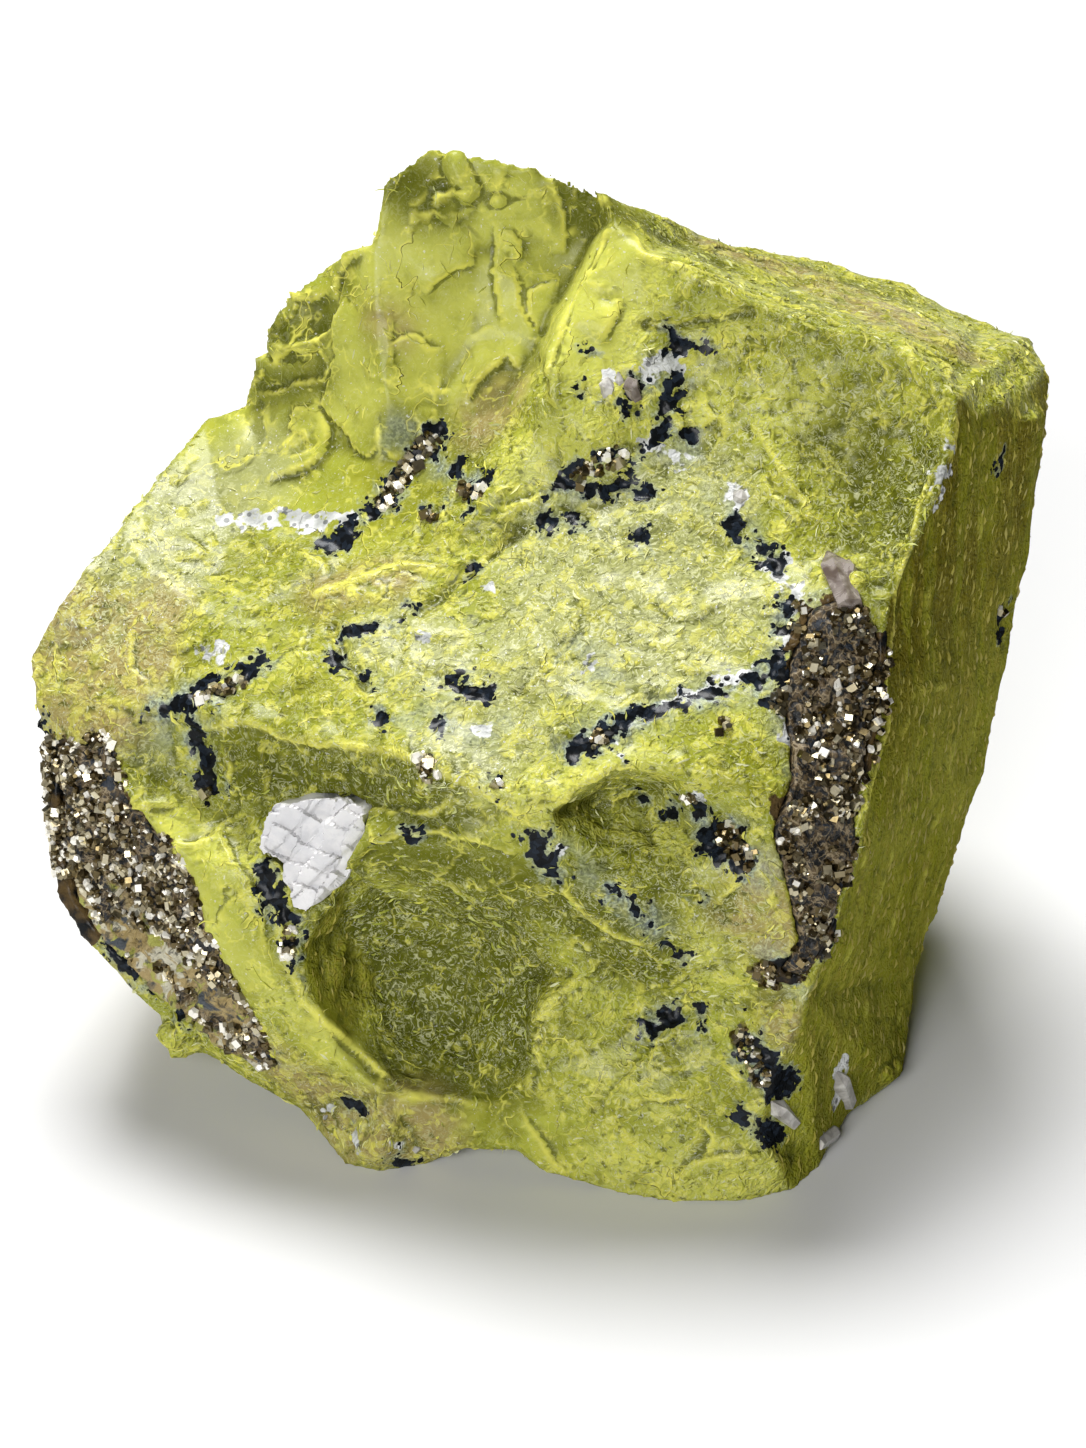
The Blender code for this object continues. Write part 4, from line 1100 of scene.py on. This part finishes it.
# The calcite crystal.
# A white crystal set in the front face. It splits along two directions only, so its broken face
# is a flight of little flat steps with pearly edges.
calcite_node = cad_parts["calcite_crystal"]
CALCITE_VOXEL = 0.28 * MM
CALCITE_SWELL = 0.5 * MM     # covers the gap between the crystal and its pocket
calcite = remeshed("calcite_steps", calcite_node, CALCITE_VOXEL, CALCITE_SWELL)
block = Surface(calcite.data)
block.points = block.smoothed(block.points, 2)
out = block.normals()
LONG_RUN = spot(345, 805) - spot(305, 885)
CROSS_RUN = spot(345, 860) - spot(280, 828)
calcite_out = np.cross(CROSS_RUN, LONG_RUN)
calcite_out /= np.linalg.norm(calcite_out)
levels = np.random.default_rng(111).random((64, 64))


def bands(direction_across, pitch, shift=0.0):
    """Which strip each point of the calcite is in, and how far across the strip it is. The shift
    moves the strips sideways, by a share of their width."""
    direction = np.cross(direction_across, calcite_out)
    direction /= np.linalg.norm(direction)
    strip = block.points @ direction / (pitch * MM)
    strip += noise(block.points, 5 * MM, 112) * 0.6 + 30 + shift
    return np.floor(strip).astype(int) % 64, strip % 1.0


strip, strip_part = bands(LONG_RUN, 2.5)
row, row_part = bands(CROSS_RUN, 2.4, levels[strip, 3])
rise = levels[strip, 0] * 1.1 + levels[strip, row] * 1.3 - strip_part * 0.6 - row_part * 0.7
front = soft_step(0.3, 0.6, out @ calcite_out)
block.points += calcite_out * (front * (rise - 0.4) * MM)[:, None]
block.points += out * ((1 - front) * layered(block.points, 3 * MM, 114, 2) * 0.55 * MM)[:, None]
block.write()
block.keep(strip=strip_part, blade=levels[strip, row])
white_stone = Finish("calcite_white", Roughness=0.3)
MILK = rgb(0.70, 0.70, 0.71)
SNOW = rgb(0.83, 0.82, 0.81)
PEARL = rgb(0.78, 0.77, 0.77)
CLOUDING_AND_STEP_SHADE = rgb(0.56, 0.55, 0.56)
CLEFT_SHADE = rgb(0.30, 0.30, 0.31)
veil = white_stone.noise(2.0, 4, 0.8)
white_stone.use("Base Color", painted(
    veil.step(0.35, 0.65).blend(MILK, SNOW),
    (white_stone.noise(0.9, 4).step(0.62, 0.7), PEARL),
    # each blade a random grey, partly clouding in the calcite and partly painted shade that sets the
    # steps apart
    (white_stone.attribute("blade") * 0.5, CLOUDING_AND_STEP_SHADE),
    # painted shade along the breaks between the strips
    (white_stone.attribute("strip").line(0.0, 0.08) * 0.3, CLEFT_SHADE)))
white_stone.use("Roughness", 0.2 + veil * 0.4)
white_stone.bump(white_stone.noise(0.7, 4), 0.12)
white_stone.coat(calcite)
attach(calcite, "root")
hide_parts("calcite_crystal")

# The small crystals.
# Six-sided crystals with pointed ends: one smoky and half clear beside the right-hand pyrite, and
# chalky white ones in the black veins and at the foot. Each grew out of the serpentine.
def six_sided(foot, tip, width, spin):
    """A six-sided rod from foot to tip. Its ring k has the radius width * r(k) at the share t(k)
    of the length, where the last ring shrinks to a blunt point."""
    length = np.linalg.norm(tip - foot)
    way = (tip - foot) / length
    first = np.cross(way, (0.3, 0.2, 0.9))
    first /= np.linalg.norm(first)
    second = np.cross(way, first)
    angle = np.arange(6) * math.pi / 3 + spin
    ring = np.cos(angle)[:, None] * first + np.sin(angle)[:, None] * second * 0.8
    shares, radii = np.array((0.0, 0.72, 1.0)), np.array((0.9, 1.0, 0.12))
    points = foot + shares[:, None, None] * (tip - foot) + radii[:, None, None] * ring * width / 2
    return hull([Vector(point) for point in points.reshape(-1, 3)])


def crystal_group(name, crystals, material):
    """One object of several crystals, each given by the pixels of its foot and tip, how far the
    tip and the foot stand out of the rock in millimetres, and its width."""
    corners, faces = [], []
    start = 0
    for number, (foot, tip, lift, sunk, width) in enumerate(crystals):
        toward = -np.array(ahead) * MM
        ends = spot(*foot) - toward * sunk, spot(*tip) + toward * lift
        points, triangles = six_sided(*ends, width * MM, number * 0.9)
        corners.append(points)
        faces.append(triangles + start)
        start += len(points)
    made = new_piece(name, np.concatenate(corners), np.concatenate(faces), material)
    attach(made, "root")


SMOKY_CRYSTALS = [((850, 606), (827, 552), 1.6, -0.4, 3.2), ((846, 590), (848, 560), 1.0, 0.2, 2.0),
                  ((862, 604), (858, 580), 0.8, 0.2, 1.5), ((636, 398), (628, 378), 0.9, 0.4, 2.0)]
WHITE_CRYSTALS = [((604, 402), (608, 378), 0.7, 1.0, 1.9), ((622, 398), (618, 372), 0.4, 1.0, 1.2),
                  ((846, 1102), (834, 1070), -0.3, 1.2, 2.8), ((830, 1150), (838, 1128), -0.3, 1.0, 2.0),
                  ((792, 1122), (772, 1102), 0.0, 1.0, 2.4), ((738, 508), (742, 490), 0.4, 1.0, 2.0),
                  ((408, 1150), (420, 1148), 0.5, 1.0, 1.2), ((406, 1140), (408, 1134), 0.4, 1.0, 0.7)]
SMOKE_DARK = rgb(0.16, 0.12, 0.10)
SMOKE_LIGHT = rgb(0.46, 0.40, 0.36)
smoke = Finish("smoky_quartz", Roughness=0.2, IOR=1.54, Transmission_Weight=0.35)
wisp = smoke.noise(1.6, 4, 0.8)
smoke.use("Base Color", wisp.step(0.35, 0.65).blend(SMOKE_DARK, SMOKE_LIGHT))
smoke.use("Roughness", 0.1 + wisp * 0.3)
MILKY_DARK = rgb(0.34, 0.32, 0.29)
MILKY_LIGHT = rgb(0.62, 0.60, 0.56)
milky = Finish("milky_quartz", Roughness=0.3)
haze = milky.noise(1.2, 4, 0.8)
milky.use("Base Color", haze.step(0.35, 0.65).blend(MILKY_DARK, MILKY_LIGHT))
milky.use("Roughness", 0.15 + haze * 0.4)
crystal_group("smoky_crystals", SMOKY_CRYSTALS, smoke.material)
crystal_group("white_crystals", WHITE_CRYSTALS, milky.material)

# The studio.
# A plain pale floor, a large soft light high behind the rock at the left and a second one in
# front, with a glow from the left all round. The camera stands where the photograph's did.
FLOOR = 6.0                  # half the floor's width, in metres
PALE_FLOOR = (0.73, 0.73, 0.73, 1.0)
floor_mesh = bpy.data.meshes.new("studio_floor")
floor_mesh.from_pydata([(-FLOOR, -FLOOR, 0), (FLOOR, -FLOOR, 0), (FLOOR, FLOOR, 0),
                        (-FLOOR, FLOOR, 0)], [], [(0, 1, 2, 3)])
floor = bpy.data.objects.new("studio_floor", floor_mesh)
bpy.context.scene.collection.objects.link(floor)
pale_floor = bpy.data.materials.new("studio_floor")
pale_floor.use_nodes = True
floor_shader = pale_floor.node_tree.nodes["Principled BSDF"]
floor_shader.inputs["Base Color"].default_value = PALE_FLOOR
floor_shader.inputs["Roughness"].default_value = 0.9
floor_mesh.materials.append(pale_floor)


def softbox(name, place, size, watts):
    """A square light that faces the rock."""
    light = bpy.data.lights.new(name, "AREA")
    light.shape = "SQUARE"
    light.size = size
    light.energy = watts
    lamp = bpy.data.objects.new(name, light)
    lamp.location = place
    lamp.rotation_euler = (VIEW_TARGET - Vector(place)).to_track_quat("-Z", "Y").to_euler()
    bpy.context.scene.collection.objects.link(lamp)


softbox("key_light", (-0.14, 0.62, 1.32), 0.6, 30)
softbox("front_light", (-0.48, -1.24, 0.80), 0.7, 17.5)
world = bpy.data.worlds.new("studio")
world.use_nodes = True
sky = Wire(world.node_tree, world.node_tree.nodes.new("ShaderNodeTexCoord").outputs[0])
BRIGHT_WAY = (-0.6, 0.5, 0.6)
leftness = sky.node("VectorMath", {"operation": "DOT_PRODUCT"}, out=1, s0=sky, s1=BRIGHT_WAY)
glow = leftness.node("MapRange", s0=leftness, s1=-0.8, s2=0.9, s3=0.07, s4=0.40)
world.node_tree.links.new(glow.socket, world.node_tree.nodes["Background"].inputs["Strength"])
bpy.context.scene.world = world
bpy.context.scene.view_settings.view_transform = "Standard"

camera = bpy.data.objects.new("photo_camera", bpy.data.cameras.new("photo_camera"))
camera.data.sensor_width = 36
camera.data.lens = FOCAL / PHOTO[1] * camera.data.sensor_width
camera.data.clip_start = 0.01
camera.location = eye
camera.rotation_euler = ahead.to_track_quat("-Z", "Y").to_euler()
bpy.context.scene.collection.objects.link(camera)
bpy.context.scene.camera = camera
